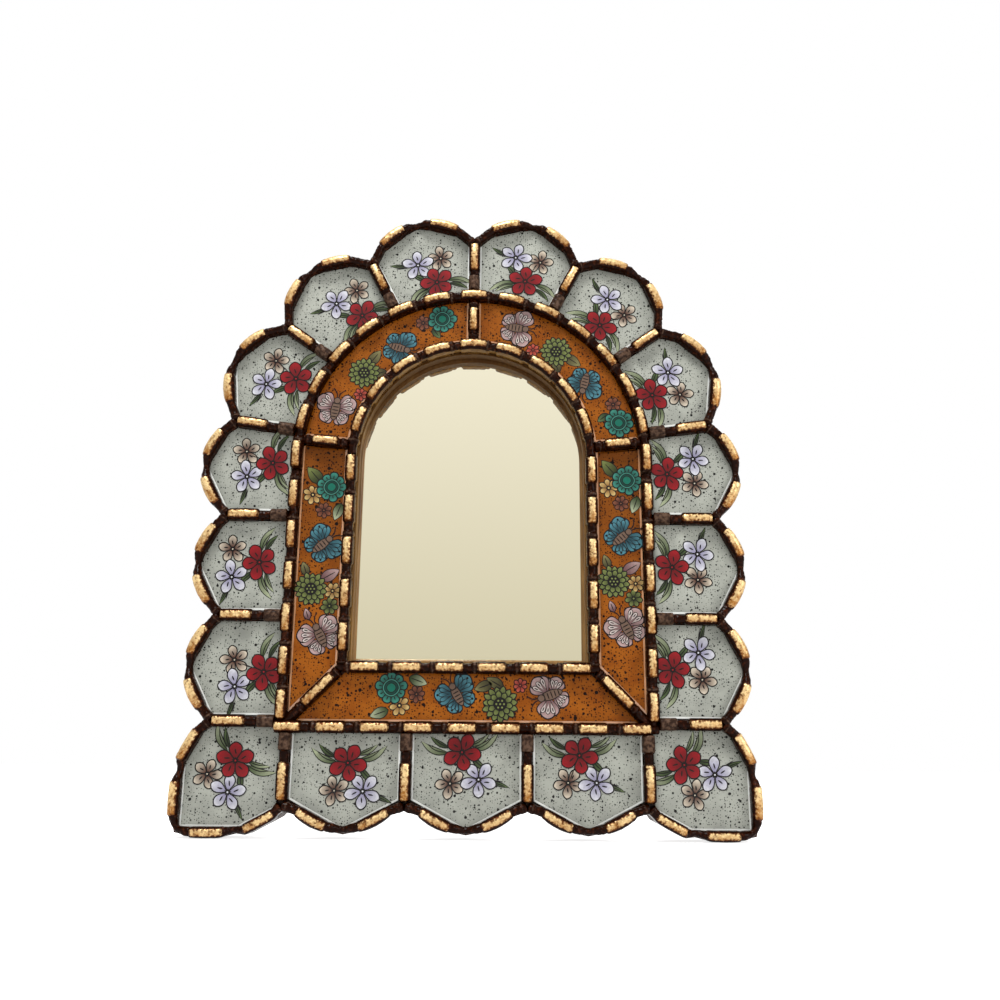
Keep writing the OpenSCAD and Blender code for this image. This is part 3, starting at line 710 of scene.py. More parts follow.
leg = [[band_r, spring - ARCH_LEG], [band_r, spring]]
mid_arch = evenly(np.concatenate([leg, arc(band_r, 0, 180), [[-band_r, spring - ARCH_LEG]]]))
mid_pitch = np.pi * band_r / (MID_ARCH_BARS - 1)
gilded("middle_ridge_arch", [(mid_arch, row(MID_ARCH_BARS, ARCH_LEG, mid_pitch, MID_BAR), 11)])
inner_arch = evenly(arc(inner_r, 0, 180))
inner_pitch = np.pi * inner_r / (INNER_ARCH_BARS + 1)
inner_row = row(INNER_ARCH_BARS, inner_pitch, inner_pitch, INNER_BAR)
gilded("inner_ridge_arch", [(inner_arch, inner_row, 12)], bronze=1)
for name, x in (("left", -1), ("right", 1)):
    line = straight([x * band_r, spring - ARCH_LEG], [x * band_r, SIDE_GAP])
    bars = row(MID_SIDE_BARS, MID_PITCH - ARCH_LEG, MID_PITCH, MID_BAR)
    gilded(f"middle_ridge_{name}", [(line, bars, 13 + x)])
    line = straight([x * inner_r, spring], [x * inner_r, inner_rise + SIDE_GAP])
    bars = row(INNER_SIDE_BARS, INNER_BAR, INNER_PITCH, INNER_BAR)
    gilded(f"inner_ridge_{name}", [(line, bars, 17 + x)], bronze=-x)
for node, half, y, count, pitch, bar, shift in (
    ("middle_ridge_bottom", band_r + bar_w / 2, 0, MID_SILL_BARS, MID_PITCH, MID_BAR, MID_SILL_SHIFT),
    ("inner_ridge_bottom", inner_r + bar_w / 2, inner_rise, INNER_SILL_BARS, INNER_SILL_PITCH,
     INNER_BAR, INNER_SILL_SHIFT),
):
    first = half - (count - 1) / 2 * pitch + shift
    line = straight([-half, y], [half, y])
    gilded(node, [(line, row(count, first, pitch, bar), 20 + count)], bronze=int(y > 0))
print(f"pitch of the bars: {mid_pitch:.1f} mm on the middle arch, {inner_pitch:.1f} on the inner one")

# %% [markdown]
# The petals' plan is worked out as in the solid model: dividers at even angles round the arch and at
# even steps down the sides and along the bottom, and between two of them a pointed petal. Only the
# right half is worked out, and the left half mirrors it.

# %% The petals' plan
PETALS, MIDDLE_PETAL = 17, 9
LAST_ARCH, LAST_SIDE, CORNER, HALF_WAY = 3, 6, 7, 8.5
ARCH_STEP, SIDE_STEP, LOW_DIVIDER, BOTTOM_STEP = 27.25, 43.85, 2.2, 50.0
SIDE_REACH, ARCH_REACH, BOTTOM_REACH = 116.1, 115.7, 39.6
SIDE_VALLEY, ARCH_VALLEY, BOTTOM_VALLEY = 105.9, 103.6, 31.2


def divider(k):
    """A divider of the right half, counted clockwise from the top: its foot on the middle ridge, its
    angle, and the valley where it ends."""
    if k <= LAST_ARCH:
        angle = 90 - ARCH_STEP * k
        reach = SIDE_VALLEY if k == LAST_ARCH else ARCH_VALLEY
        return hub + band_r * unit(angle), angle, hub + reach * unit(angle)
    if k <= LAST_SIDE:
        y = LOW_DIVIDER + SIDE_STEP * (LAST_SIDE - k)
        return np.array([band_r, y]), 0.0, np.array([SIDE_VALLEY, y])
    x = BOTTOM_STEP * (HALF_WAY - k)
    return np.array([x, 0.0]), -90.0, np.array([x, -BOTTOM_VALLEY])


def petal_frame(j):
    """A petal's base point, angle, reach and half width, which is half the way between the valleys
    on both sides of it."""
    a, b = divider(j - 1)[2], divider(j)[2]
    if j <= LAST_ARCH:
        half = ARCH_VALLEY * np.sin(np.radians(ARCH_STEP / 2))
        return hub, 90 - ARCH_STEP * (j - 0.5), ARCH_REACH, half
    if j <= LAST_SIDE:
        return np.array([0, (a[1] + b[1]) / 2]), 0.0, SIDE_REACH, np.linalg.norm(b - a) / 2
    return np.array([(a[0] + b[0]) / 2, 0]), -90.0, BOTTOM_REACH, BOTTOM_STEP / 2


def local(base, angle, r, s):
    """A point r outward along the angle and s to the left of it."""
    return base + r * unit(angle) + s * unit(angle + 90)


def twin(i):
    """The right-hand petal that petal i mirrors, and the sign of its x."""
    return (i, 1) if i <= MIDDLE_PETAL else (2 * MIDDLE_PETAL - i, -1)


print("petals:", PETALS, "corner valleys:", divider(LAST_SIDE)[2], divider(CORNER)[2])

# %% [markdown]
# The crown line of an outer ridge runs from valley to valley over the petal's tip. On each slope two
# of its corners are the ends of a gilt bar. The corner petal has a second tip and two more bars.

# %% Crown lines round the petals
CORNER_DROP, CORNER_OUT = 17.7, 93.4
OUTER_W, TIP_W = 4.3, 2.0
OUTER_BAR, BAR_SLOPE, BAR_OVER = 6.6, 27.6, 3.2


def slope_bar(base, angle, reach, half_w, side):
    """The ends of the bar on one slope of a petal. They lie at s = half_w / 2 -+ half the bar's run,
    on a roof: r = reach + BAR_OVER - |s| * tan(BAR_SLOPE)."""
    slope = np.radians(BAR_SLOPE)
    run = OUTER_BAR * np.cos(slope)
    ends = side * (half_w / 2 + side * run), side * (half_w / 2 - side * run)
    return [local(base, angle, reach + BAR_OVER - abs(s) * np.tan(slope), s) for s in ends]


def corner_path():
    """The crown line of the corner petal: two slopes, two straight bars, and the corner between."""
    right, below = (np.array([0, -CORNER_DROP]), 0.0), (np.array([CORNER_OUT, 0]), -90.0)
    up = slope_bar(*right, SIDE_REACH, LOW_DIVIDER + CORNER_DROP, 1)
    down = slope_bar(*below, BOTTOM_REACH, CORNER_OUT - divider(CORNER)[2][0], -1)
    out, low = SIDE_REACH + OUTER_W / 2, -BOTTOM_REACH - OUTER_W / 2
    x, y = (CORNER_OUT + SIDE_REACH) / 2, -(CORNER_DROP + BOTTOM_REACH) / 2
    return np.array([
        divider(LAST_SIDE)[2],
        *up,
        local(*right, SIDE_REACH + TIP_W / 2, 0),
        [out, y + OUTER_BAR],
        [out, y - OUTER_BAR],
        [SIDE_REACH + TIP_W / 2, -BOTTOM_REACH - TIP_W / 2],
        [x + OUTER_BAR, low],
        [x - OUTER_BAR, low],
        local(*below, BOTTOM_REACH + TIP_W / 2, 0),
        *down,
        divider(CORNER)[2],
    ])


def outer_path(j):
    """Corner points of a petal's outer crown line; every third stretch is a gilt bar."""
    if j == CORNER:
        return corner_path()
    base, angle, reach, half = petal_frame(j)
    up, down = (slope_bar(base, angle, reach, half, side) for side in (1, -1))
    tip = local(base, angle, reach + TIP_W / 2, 0)
    return np.array([divider(j - 1)[2], *up, tip, *down, divider(j)[2]])


print("points on the corner's crown line:", len(outer_path(CORNER)))

# %% [markdown]
# Each pane is cut again as a clean polygon that tucks a little under the ridges round it. Its sides
# are given clockwise, as lines drawn in by a number of millimetres, and its corners lie where two
# neighbouring sides cross. Where a side is an arc, its points are listed.

# %% Sides and corners


def drawn_line(start, stop, inset):
    """A point and the direction of the line from start to stop, drawn in to its right by inset."""
    start, stop = np.array(start, float), np.array(stop, float)
    way = (stop - start) / np.linalg.norm(stop - start)
    return start + inset * np.array([way[1], -way[0]]), way


def crossing(one, other):
    """Where the line p + a * u meets the line q + b * v: a = ((q - p) x v) / (u x v)."""
    (p, u), (q, v) = one, other
    gap = q - p
    return p + u * (gap[0] * v[1] - gap[1] * v[0]) / (u[0] * v[1] - u[1] * v[0])


def round_side(radius, start, stop, gap_start, gap_stop):
    """Points on an arc about the hub. At each end it stops a gap short of the radial line there,
    which is an angle of arcsin(gap / radius)."""
    lean = np.degrees(np.arcsin(np.array([gap_start, gap_stop]) / radius)) * np.sign(stop - start)
    return arc(radius, start + lean[0], stop - lean[1], 24)


def outline(sides):
    """Joins lines and arcs into one clockwise loop."""
    loop = []
    for one, other in zip(sides, sides[1:] + sides[:1]):
        if isinstance(one, np.ndarray):
            loop += list(one)
        elif isinstance(other, tuple):
            loop.append(crossing(one, other))
    return np.array(loop)


level, upright = drawn_line([-1, 2], [1, 2], 0.5), drawn_line([3, 0], [3, 1], 0.5)
print("two lines, each drawn in by half, cross at", crossing(level, upright))

# %% [markdown]
# A petal pane lies between two dividers, under its outer ridge and beside the middle ridge, which is
# straight at the sides and below and round at the arch. A band pane lies between the middle and the
# inner ridge.

# %% Outlines of the panes
TUCK, BAND_TURN = 0.2, 5.5


def petal_outline(j):
    """The loop of a petal pane on the right half: up its first divider, along the stretches of the
    outer crown line that are not bars' ends, down the next divider and back beside the ridge."""
    gap, path = bar_w / 2 - TUCK, outer_path(j)
    (foot, angle, valley), (next_foot, next_angle, next_valley) = divider(j - 1), divider(j)
    sides = [drawn_line(foot, valley, gap)]
    for k in range(1, len(path) - 1, 3):
        sides.append(drawn_line(path[k], path[k + 1], OUTER_W / 2 - TUCK))
    sides.append(drawn_line(next_valley, next_foot, gap))
    if LAST_ARCH < j <= LAST_SIDE:
        sides.append(drawn_line(next_foot, next_foot + [0, 1], gap))
    if j > CORNER:
        sides.append(drawn_line(next_foot, foot, gap))
    if j <= LAST_ARCH:
        sides.append(round_side(band_r + gap, next_angle, angle, gap, gap))
    if j == LAST_ARCH + 1:
        sides.append(round_side(band_r + gap, 0, angle, 0, gap))
    return outline(sides)


def band_outline(name):
    """The loop of a band pane on the right half, "arch" or "side", or of the one at the bottom."""
    gap = bar_w / 2 - TUCK
    low, high, turn = [inner_r, inner_rise], [band_r, 0], BAND_TURN
    if name == "arch":
        inside = round_side(inner_r + gap, turn, 90, gap, gap)
        return outline([inside, round_side(band_r - gap, 90, turn, gap, gap)])
    if name == "side":
        inside = round_side(inner_r + gap, 0, turn, 0, gap)
        outside = round_side(band_r - gap, turn, 0, gap, 0)
        lines = [drawn_line([band_r, spring], high, gap), drawn_line(high, low, gap)]
        return outline([drawn_line(low, [inner_r, spring], gap), inside, outside, *lines])
    corners = [[-band_r, 0], [-inner_r, inner_rise], low, high]
    return outline([drawn_line(a, b, gap) for a, b in zip(corners, corners[1:] + corners[:1])])


print("corners of the bottom band pane:", band_outline("bottom").round(1).tolist())

# %% [markdown]
# The front edge of a pane is ground down. Along the outer and lower sides it carries a thin pale
# line, a painted glint where light would catch the edge. The line is drawn with the rim's own finish.

# %% Panes with ground edges and painted glints
RIM_W, RIM_DEPTH = 0.8, 0.12
GLINT_LEVEL, GLINT_FACING_IN, CORNER_WAY = 0.1, -0.5, -45.0


def outward(loop):
    """The unit vector pointing out of each side of a clockwise loop: (-y, x) of its direction."""
    way = np.roll(loop, -1, 0) - loop
    way /= np.linalg.norm(way, axis=1)[:, None]
    return np.stack([-way[:, 1], way[:, 0]], 1)


def drawn_in(loop, width):
    """The loop with every side moved inwards by width: a corner moves against the sum n of its two
    sides' normals by 2 * width * n / |n| ** 2."""
    out = outward(loop)
    both = out + np.roll(out, 1, 0)
    return loop - both * (2 * width / np.sum(both * both, axis=1))[:, None]


def ground_pane(node, loop, ground, rim_glint, slot, turn):
    """A pane of three rings: the loop drawn in, on the glass face; the loop, RIM_DEPTH lower; and the
    loop on the board. The rim carries a painted glint on sides that face down or level, but not inwards."""
    out = outward(loop)
    rings = [(drawn_in(loop, RIM_W), glass_face), (loop, glass_face - RIM_DEPTH), (loop, board_face)]
    points = np.concatenate([np.insert(ring, 2, z, axis=1) for ring, z in rings])
    n = len(loop)
    i = np.arange(n)
    after = (i + 1) % n
    faces = [i[::-1], i + 2 * n]
    for step in (0, n):
        faces += list(np.stack([i + step, after + step, after + step + n, i + step + n], 1))
    mesh = bpy.data.meshes.new(node + "_cut")
    mesh.from_pydata(to_model(points).tolist(), [], [f.tolist() for f in faces])
    close_up(mesh, merge=False)
    # painted glint: the rim is pale on sides that face down or level, but not inwards
    glinting = (out[:, 1] < GLINT_LEVEL) & (out @ unit(turn) > GLINT_FACING_IN)
    finishes = np.concatenate([[0, 0], glinting, np.zeros(n)]).astype(int)
    mesh.polygons.foreach_set("material_index", finishes)
    mesh.polygons.foreach_set("use_smooth", np.zeros(len(mesh.polygons), bool))
    return place(bpy.data.objects.new(node + "_cut", mesh), [ground, rim_glint], [node], slot)


def mirrored(loop):
    """The left-hand twin of a loop, still clockwise."""
    return (loop * [-1, 1])[::-1]


for i in range(1, PETALS + 1):
    j, sign = twin(i)
    loop, turn = petal_outline(j), CORNER_WAY if j == CORNER else petal_frame(j)[1]
    if sign < 0:
        loop, turn = mirrored(loop), 180 - turn
    ground_pane(f"petal_glass_{i}", loop, celadon, glass_rim_glint, "celadon_glass", turn)
for name, loop in (("arch", band_outline("arch")), ("side", band_outline("side"))):
    ground_pane(f"band_glass_{name}_right", loop, amber, amber_rim_glint, "amber_glass", -90.0)
    ground_pane(f"band_glass_{name}_left", mirrored(loop), amber, amber_rim_glint, "amber_glass", -90.0)
ground_pane("band_glass_bottom", band_outline("bottom"), amber, amber_rim_glint, "amber_glass", -90.0)
print("panes:", PETALS, "round the outside and 5 in the band")

# %% [markdown]
# An outer ridge hugs the point of its petal: a bar on each slope, thin pinched necks at the tip and
# broader ones in the valleys. Its necks are narrower than elsewhere, so the section shrinks there,
# and each bar bulges out of its slope.

# %% Outer ridges
BULGE, CORNER_BULGE = 0.9, 0.2
OUTER_STEP, OUTER_SOFT = 0.3, 3.6
OUTER_NECK, NECK_DROP = 3.7, 1.1
PINCH_W, PINCH_DROP, PINCH_REACH = 1.2, 2.0, 5.0
VALLEY_BEAD, BEAD_IN = (1.1, 0.5, "bead"), 2.2
OUTER_LEAF = 1.65


def outer_ridge(i):
    """The ridge of petal i. Over a bar its line moves out by bulge / 2 and it widens by the bulge,
    a parabola 1 - (distance from the bar's middle / half) ** 2. Near a tip it is pinched, by the
    smooth step p * p * (3 - 2 * p) of how near, p, the tip is."""
    j, sign = twin(i)
    path = outer_path(j)
    marks = along(path)
    line = evenly(path, OUTER_STEP, OUTER_SOFT)
    s = along(line) * marks[-1] / along(line)[-1]
    starts = range(1, len(path) - 1, 3)
    bars = [((marks[k] + marks[k + 1]) / 2, (marks[k + 1] - marks[k]) / 2, 1.0, "gilt") for k in starts]
    bulge = sum(np.clip(1 - ((s - centre) / half) ** 2, 0, 1) for centre, half, _, _ in bars)
    bulge = bulge * (CORNER_BULGE if j == CORNER else BULGE)
    line = line + headings(line)[1] * bulge[:, None] / 2
    bars += [(marks[0] + BEAD_IN, *VALLEY_BEAD), (marks[-1] - BEAD_IN, *VALLEY_BEAD)]
    tips = [marks[k] for k in range(3, len(path) - 2, 3)]
    near = np.min([abs(s - t) for t in tips], axis=0)
    pinch = np.clip(1 - near / PINCH_REACH, 0, 1)
    pinch = pinch * pinch * (3 - 2 * pinch)
    narrow = OUTER_NECK - PINCH_W * pinch, bar_h - NECK_DROP - PINCH_DROP * pinch
    lengths = [(line * [sign, 1], bars, 40 + 2 * i)]
    shape = {"wide": (OUTER_W + bulge, bar_h), "narrow": narrow, "leaf_half": OUTER_LEAF}
    gilded(f"outer_ridge_{i}", lengths, lean=sign, **shape)


for i in range(1, PETALS + 1):
    outer_ridge(i)
print("outer ridges:", PETALS)

# %% [markdown]
# The dividers between the panes are short ridges: a long gilt bar at the outer end, a black neck,
# and a dull plum-brown block where they meet the middle ridge. The band's own dividers have one bar.
# It sits in their middle, but on the two mitres it sits nearer to the mirror.

# %% Dividers
DIVIDER_BAR, LOW_DIVIDER_BAR, BAR_INSET = 6.8, 7.6, 0.3
FOOT_BAR, FOOT_TUCK, LOW_DIVIDER_STOP = 3.9, 0.6, 1.5
BAND_BAR, MITRE_BAR, MITRE_SHIFT, DRAWN_IN = 5.65, 8.2, -3.8, 1.8
BAND_BEAD, BAND_BEAD_GAP = (1.0, 0.6, "bead"), 2.2


def seeded(lines, seed):
    """Gives each line and its bars a seed of its own, three apart."""
    return [(line, bars, seed + 3 * k) for k, (line, bars) in enumerate(lines)]


def petal_divider(k, sign):
    """The line of divider k, from under the middle ridge to its valley, and its bar and block."""
    foot, angle, valley = divider(k)
    bar, stop = (DIVIDER_BAR, 0.0) if k < CORNER else (LOW_DIVIDER_BAR, LOW_DIVIDER_STOP)
    foot, end = foot + (bar_w / 2 - FOOT_TUCK) * unit(angle), valley - stop * unit(angle)
    line = straight(foot * [sign, 1], end * [sign, 1])
    gilt_bar = (along(line)[-1] - bar - BAR_INSET, bar, 1.0, "gilt")
    return line, [gilt_bar, (FOOT_BAR, FOOT_BAR, PLUM_RISE, "plum")]


def band_divider(a, b, half, sign, shift=0.0):
    """A divider between two crown points, drawn in so that it ends inside the ridges it meets."""
    a, b = np.array(a) * [sign, 1], np.array(b) * [sign, 1]
    way = (b - a) / np.linalg.norm(b - a)
    line = straight(a + way * DRAWN_IN, b - way * DRAWN_IN)
    middle = along(line)[-1] / 2 + shift
    beads = [(middle + end * (half + BAND_BEAD_GAP), *BAND_BEAD) for end in (1, -1)]
    return line, [(middle, half, 1.0, "gilt"), *beads]


on_the_arch = [petal_divider(k, s) for k in range(4) for s in (1, -1) if k or s > 0]
gilded("arch_dividers", seeded(on_the_arch, 100))
gilded("side_dividers", seeded([petal_divider(k, s) for k in (4, 5, 6) for s in (1, -1)], 140))
gilded("bottom_dividers", seeded([petal_divider(k, s) for k in (7, 8) for s in (1, -1)], 180))
in_the_band = [band_divider([0, spring + inner_r], [0, spring + band_r], BAND_BAR, 1)]
for s in (1, -1):
    start, stop = hub + inner_r * unit(BAND_TURN), hub + band_r * unit(BAND_TURN)
    in_the_band.append(band_divider(start, stop, BAND_BAR, s))
    in_the_band.append(band_divider([inner_r, inner_rise], [band_r, 0], MITRE_BAR, s, MITRE_SHIFT))
gilded("band_dividers", seeded(in_the_band, 220))
print("dividers on the arch:", len(on_the_arch), "and in the band:", len(in_the_band))

# %% [markdown]
# The reveal round the mirror is a thin lacquered liner. Its section goes down a plain wall, past a
# fine groove, over a small round bead at the foot, and back up behind. The outline of the opening,
# drawn in by a little more at each point of the section, carries it round with square mitres.

# %% Opening liner
liner_half = box_mm("opening_liner")[1][0]
liner_low = box_mm("opening_liner")[0][2] - plan_zero
SIDE_POINTS, ARCH_POINTS, BEAD_POINTS = 40, 97, 7
WALL, BEVEL, BEAD_OUT, BEAD_UP = 1.0, 0.2, 1.3, 1.5
GROOVE_UP, GROOVE_HALF, GROOVE_DEPTH = 0.45, 0.3, 0.4


def opening(inset):
    """The outline of the arched opening, drawn in by inset: up the right side, over and down."""
    half, low = liner_half - inset, liner_low + inset
    up = np.linspace(low, spring, SIDE_POINTS)[:-1]
    right = np.stack([np.full(len(up), half), up], 1)
    left = np.stack([np.full(len(up), -half), up[::-1]], 1)
    sill = np.linspace(-half, half, SIDE_POINTS)[1:-1]
    sill = np.stack([sill, np.full(len(sill), low)], 1)
    return np.concatenate([right, arc(half, 0, 180, ARCH_POINTS), left, sill])


quarter = np.linspace(0, np.pi / 2, BEAD_POINTS)
foot_bead = [(WALL + BEAD_OUT * np.sin(t), mirror_face + BEAD_UP * np.cos(t)) for t in quarter]
groove = mirror_face + BEAD_UP + GROOVE_UP
liner_section = [
    (0.0, mirror_face),
    (0.0, board_face),
    (WALL - BEVEL, board_face),
    (WALL, board_face - BEVEL),
    (WALL, groove + GROOVE_HALF),
    (WALL - GROOVE_DEPTH, groove),
    (WALL - GROOVE_DEPTH, groove - GROOVE_HALF),
    *foot_bead,
    (0.0, mirror_face),
]
liner = Heap()
liner.add(np.stack([np.insert(opening(inset), 2, z, axis=1) for inset, z in liner_section]), wrap=True)
reveal = liner.build(
    "opening_liner_lacquered", liner_wood, replaces=["opening_liner"], slot="liner_wood"
)
reveal.data.polygons.foreach_set("use_smooth", np.zeros(len(reveal.data.polygons), bool))
print("liner:", len(liner_section) - 1, "points in its section,", len(reveal.data.polygons), "faces")

# %% [markdown]
# The painting is common folk ornament: five-petalled blossoms, blades of leaf, rosettes and
# butterflies, each drawn with a black outline. A stroke is a flat shape on a curve, whose half width
# follows a power of a sine. It is laid twice: a little larger in black, then in its colour on top.

# %% Brush strokes
INK = tone(7, 4, 3)
OUTLINE, LAYER, FIRST_LAYER = 0.5, 0.005, 0.02
STROKE_ROWS, STROKE_COLS = 15, 5
PETAL_LAYERS, RING_PLAY = 6, 0.05


def around(middle, radius, angle):
    """The point at a distance and an angle from a middle."""
    return np.array(middle, float) + radius * unit(angle)


class Painting:
    """Flat strokes on a pane in thin layers: a stroke's outline lies at the level, its colour above."""

    def __init__(self):
        self.heap, self.level = Heap(), 0

    def lay(self, middle, half, colours, lift):
        """Adds a strip: its points lie at middle + left * half * v, for v from -1 to 1. colours: one
        for each point of the middle line, or one for all."""
        v = np.linspace(-1, 1, STROKE_COLS)
        flat = middle[:, None] + headings(middle)[1][:, None] * (half[:, None] * v)[..., None]
        depth = glass_face + FIRST_LAYER + LAYER * (self.level + lift)
        colours = np.asarray(colours, float).reshape(-1, 1, 3)
        colours = np.broadcast_to(colours, (len(middle), STROKE_COLS, 3))
        self.heap.add(np.insert(flat, 2, depth, axis=2), colour=colours)

    def stroke(self, start, stop, width, inner, outer, peak=0.5, blunt=0.7, bend=0.0, ink=OUTLINE, lift=0):
        """A leaf or petal from start to stop: half width is width * sin(pi * t ** k) ** blunt, widest
        at peak, bent sideways by bend; its colour runs from inner to outer."""
        start, stop = np.array(start, float), np.array(stop, float)
        way = stop - start
        normal = np.array([-way[1], way[0]])
        length = np.linalg.norm(way)
        k = np.log(0.5) / np.log(peak)
        t = (1 - np.cos(np.linspace(0, np.pi, STROKE_ROWS))) / 2
        shape = np.sin(np.pi * np.clip(t, 1e-6, 1 - 1e-6) ** k) ** blunt
        curve = normal * (bend * np.sin(np.pi * t))[:, None]
        if ink:
            reach = -ink / length + t * (1 + 2 * ink / length)
            self.lay(start + way * reach[:, None] + curve, (width + ink) * shape, INK, lift)
        share = (t**1.5)[:, None]
        colours = np.array(inner) * (1 - share) + np.array(outer) * share
        self.lay(start + way * t[:, None] + curve, width * shape, colours, lift + 1)

    def line(self, start, stop, half=0.2, bend=0.0, colour=INK, lift=0):
        """A thin line, pointed at both ends."""
        self.stroke(start, stop, half, colour, colour, 0.5, 0.4, bend, 0, lift)

    def disc(self, middle, radius, colour, ink=OUTLINE, oval=1.0, turn=0.0, lift=0):
        """A filled round spot, or an oval one: a stroke as long as it is wide, times oval."""
        half = unit(turn) * radius
        middle = np.array(middle, float)
        self.stroke(middle - half, middle + half, radius * oval, colour, colour, 0.5, 0.5, 0.0, ink, lift)

    def petals(self, middle, count, turn, near, far, width, shades, peak, blunt, ink=OUTLINE):
        """A ring of petals. Every second one lies on its neighbours, and the last on both of its own."""
        for k in range(count):
            angle = turn + 360 * k / count
            lift = 4 if k == count - 1 and count % 2 else 2 * (k % 2)
            reach = far * (1 - RING_PLAY * np.sin(2.4 * k + far))
            start, stop = around(middle, near, angle), around(middle, reach, angle)
            self.stroke(start, stop, width, *shades, peak, blunt, 0.0, ink, lift)
        self.level += PETAL_LAYERS

    def finish(self, name, slot):
        """Builds all strokes as one piece that faces the viewer."""
        return self.heap.build(name, paint.material, front=True, slot=slot)


def strips(motif, *settings):
    """How many strips a motif is laid with, tried out on a painting that is thrown away."""
    trial = Painting()
    motif(trial, np.zeros(2), *settings)
    return len(trial.heap.points)


print("a disc is laid with", strips(Painting.disc, 1.0, INK), "strips")

# %% [markdown]
# A blossom is five teardrop petals round a small star, each with a short vein. The same function
# paints the red, the lilac and the brown ones, with their own petals and shades. A shade is a pair:
# the tone at the heart and the tone at the tip.

# %% Blossoms and leaves
RED = (tone(92, 5, 11), tone(142, 17, 25))
LILAC = (tone(136, 132, 158), tone(206, 206, 211))
CREAM = (tone(70, 34, 20), tone(204, 192, 172))
GREEN = (tone(42, 60, 22), tone(178, 186, 152))
DARK_GREEN = (tone(26, 40, 18), tone(90, 108, 66))
BLOSSOM_PETALS = 5


def blossom(art, middle, radius, turn, shades, plump):
    """Petals round a small star; each has a short vein that doesn't reach the star."""
    art.petals(middle, BLOSSOM_PETALS, turn, 0.1 * radius, radius, plump * radius, shades, 0.62, 0.6)
    for k in range(BLOSSOM_PETALS):
        angle = turn + 360 * k / BLOSSOM_PETALS
        art.line(around(middle, 0.34 * radius, angle - 6), around(middle, 0.64 * radius, angle + 4), 0.3)
        art.line(middle, around(middle, 0.26 * radius, angle + 36), 0.3)
        art.line(middle, around(middle, 0.2 * radius, angle), 0.26)
    art.disc(middle, 0.05 * radius, shades[1], 0.2, lift=2)
    art.level += 4


def blade(art, start, stop, width, shades, bend):
    """A long leaf with a dark rib down most of its middle."""
    art.stroke(start, stop, width, *shades, 0.45, 0.9, bend, 0.42)
    way = stop - start
    art.line(start + way * 0.05, start + way * 0.8, 0.22, bend, lift=1)
    art.level += 3


print("a blossom is laid with", strips(blossom, 7.5, 0, RED, 0.33), "strips")

# %% [markdown]
# Each petal pane has one spray: a red, a lilac and a brown blossom among leaves. Its parts are
# placed in millimetres outward and to the left of the red blossom. Each spray is shifted and turned
# a little by chance, as the hand does, and each sits a little off its pane's middle.

# %% Sprays on the petal panes
FOOT = bar_w / 2 + 7.4
CORNER_SPOT, CORNER_TURN = np.array([92.3, -13.8]), -48.0
# start, stop, half width, shades and bend of each leaf
SPRAY_LEAVES = (
    ((-1.0, 4.0), (-7.2, 15.4), 1.2, GREEN, -0.12),
    ((-3.0, 4.0), (-7.4, 12.2), 0.8, GREEN, -0.08),
    ((0.2, -5.0), (-4.8, -15.8), 1.15, GREEN, 0.12),
    ((-2.0, -5.2), (-6.6, -12.4), 0.8, DARK_GREEN, 0.08),
    ((2.0, 4.6), (7.6, 10.4), 1.0, DARK_GREEN, -0.05),
    ((12.2, 11.4), (14.6, 18.8), 0.6, DARK_GREEN, 0.03),
)
# start, stop and half width of each stalk, and the number of its shift
SPRAY_STALKS = (
    ((11.2, 11.6), (12.2, 16.6), 0.2, 6),
    ((5.0, -2.0), (9.6, -3.6), 0.24, 0),
    ((5.4, 3.0), (9.0, 5.0), 0.24, 0),
)
# middle, radius, turn, play of the turn, shades and plumpness of each blossom, and its shift
SPRAY_BLOSSOMS = (
    ((11.8, -5.0), 6.0, -10, 8, CREAM, 0.28, 7),
    ((11.3, 6.5), 7.2, -7, 6, LILAC, 0.275, 8),
    ((0, 0), 7.5, 8, 5, RED, 0.33, 0),
)
# how far each pane's spray strays outward and to the left of its middle
STRAY = (
    (1.1, -2.9), (-0.5, -1.9), (-0.6, -2.1), (-0.1, -0.3), (-0.2, 0.5), (-0.9, 0.7), (-1.3, -1.8),
    (0.3, -3.2), (-0.1, -2.4), (4.3, 1.2), (1.5, -2.1), (-1.1, 1.3), (3.7, -1.0), (0.5, -3.0),
    (0.4, -3.4), (-2.1, -5.6), (-1.0, -3.0),
)


def spray(art, origin, turn, seed):
    """Paints the spray of a petal pane from its origin, outward along the turn."""
    rng = np.random.default_rng(seed)
    shift = rng.uniform(-0.5, 0.5, (12, 2))

    def spot(place, k):
        """The plan point of a place on the spray, moved by shift k."""
        return local(np.array(origin, float), turn, *(place + shift[k]))

    for k, (start, stop, width, shades, bend) in enumerate(SPRAY_LEAVES, 1):
        blade(art, spot(start, k), spot(stop, k), width, shades, bend)
    for start, stop, width, k in SPRAY_STALKS:
        art.line(spot(start, k), spot(stop, k), width)
    for middle, radius, way, play, shades, plump, k in SPRAY_BLOSSOMS:
        angle = turn + way + rng.uniform(-play, play)
        blossom(art, spot(middle, k), radius, angle, shades, plump)


def pane_place(i):
    """Where the red blossom of petal i sits, and which way its spray points."""
    j, sign = twin(i)
    spot, angle = CORNER_SPOT, CORNER_TURN
    if j != CORNER:
        base, angle = petal_frame(j)[:2]
        spot = local(base, angle, FOOT + (band_r if j < CORNER else 0), 0)
    angle = angle if sign > 0 else 180 - angle
    return local(spot * [sign, 1], angle, *STRAY[i - 1]), angle


for i in range(1, PETALS + 1):
    art = Painting()
    spot, angle = pane_place(i)
    spray(art, spot, angle + 3 * np.sin(2.3 * i), 500 + i)
    art.finish(f"petal_painting_{i}", "celadon_glass")
print("sprays:", PETALS, "strips in the last one:", len(art.heap.points))

# %% [markdown]
# The amber band carries one repeated strip: a pale butterfly, a green many-petalled flower, a blue
# butterfly, small flowers and a teal rosette. The flowers are rings of petals with different hearts.

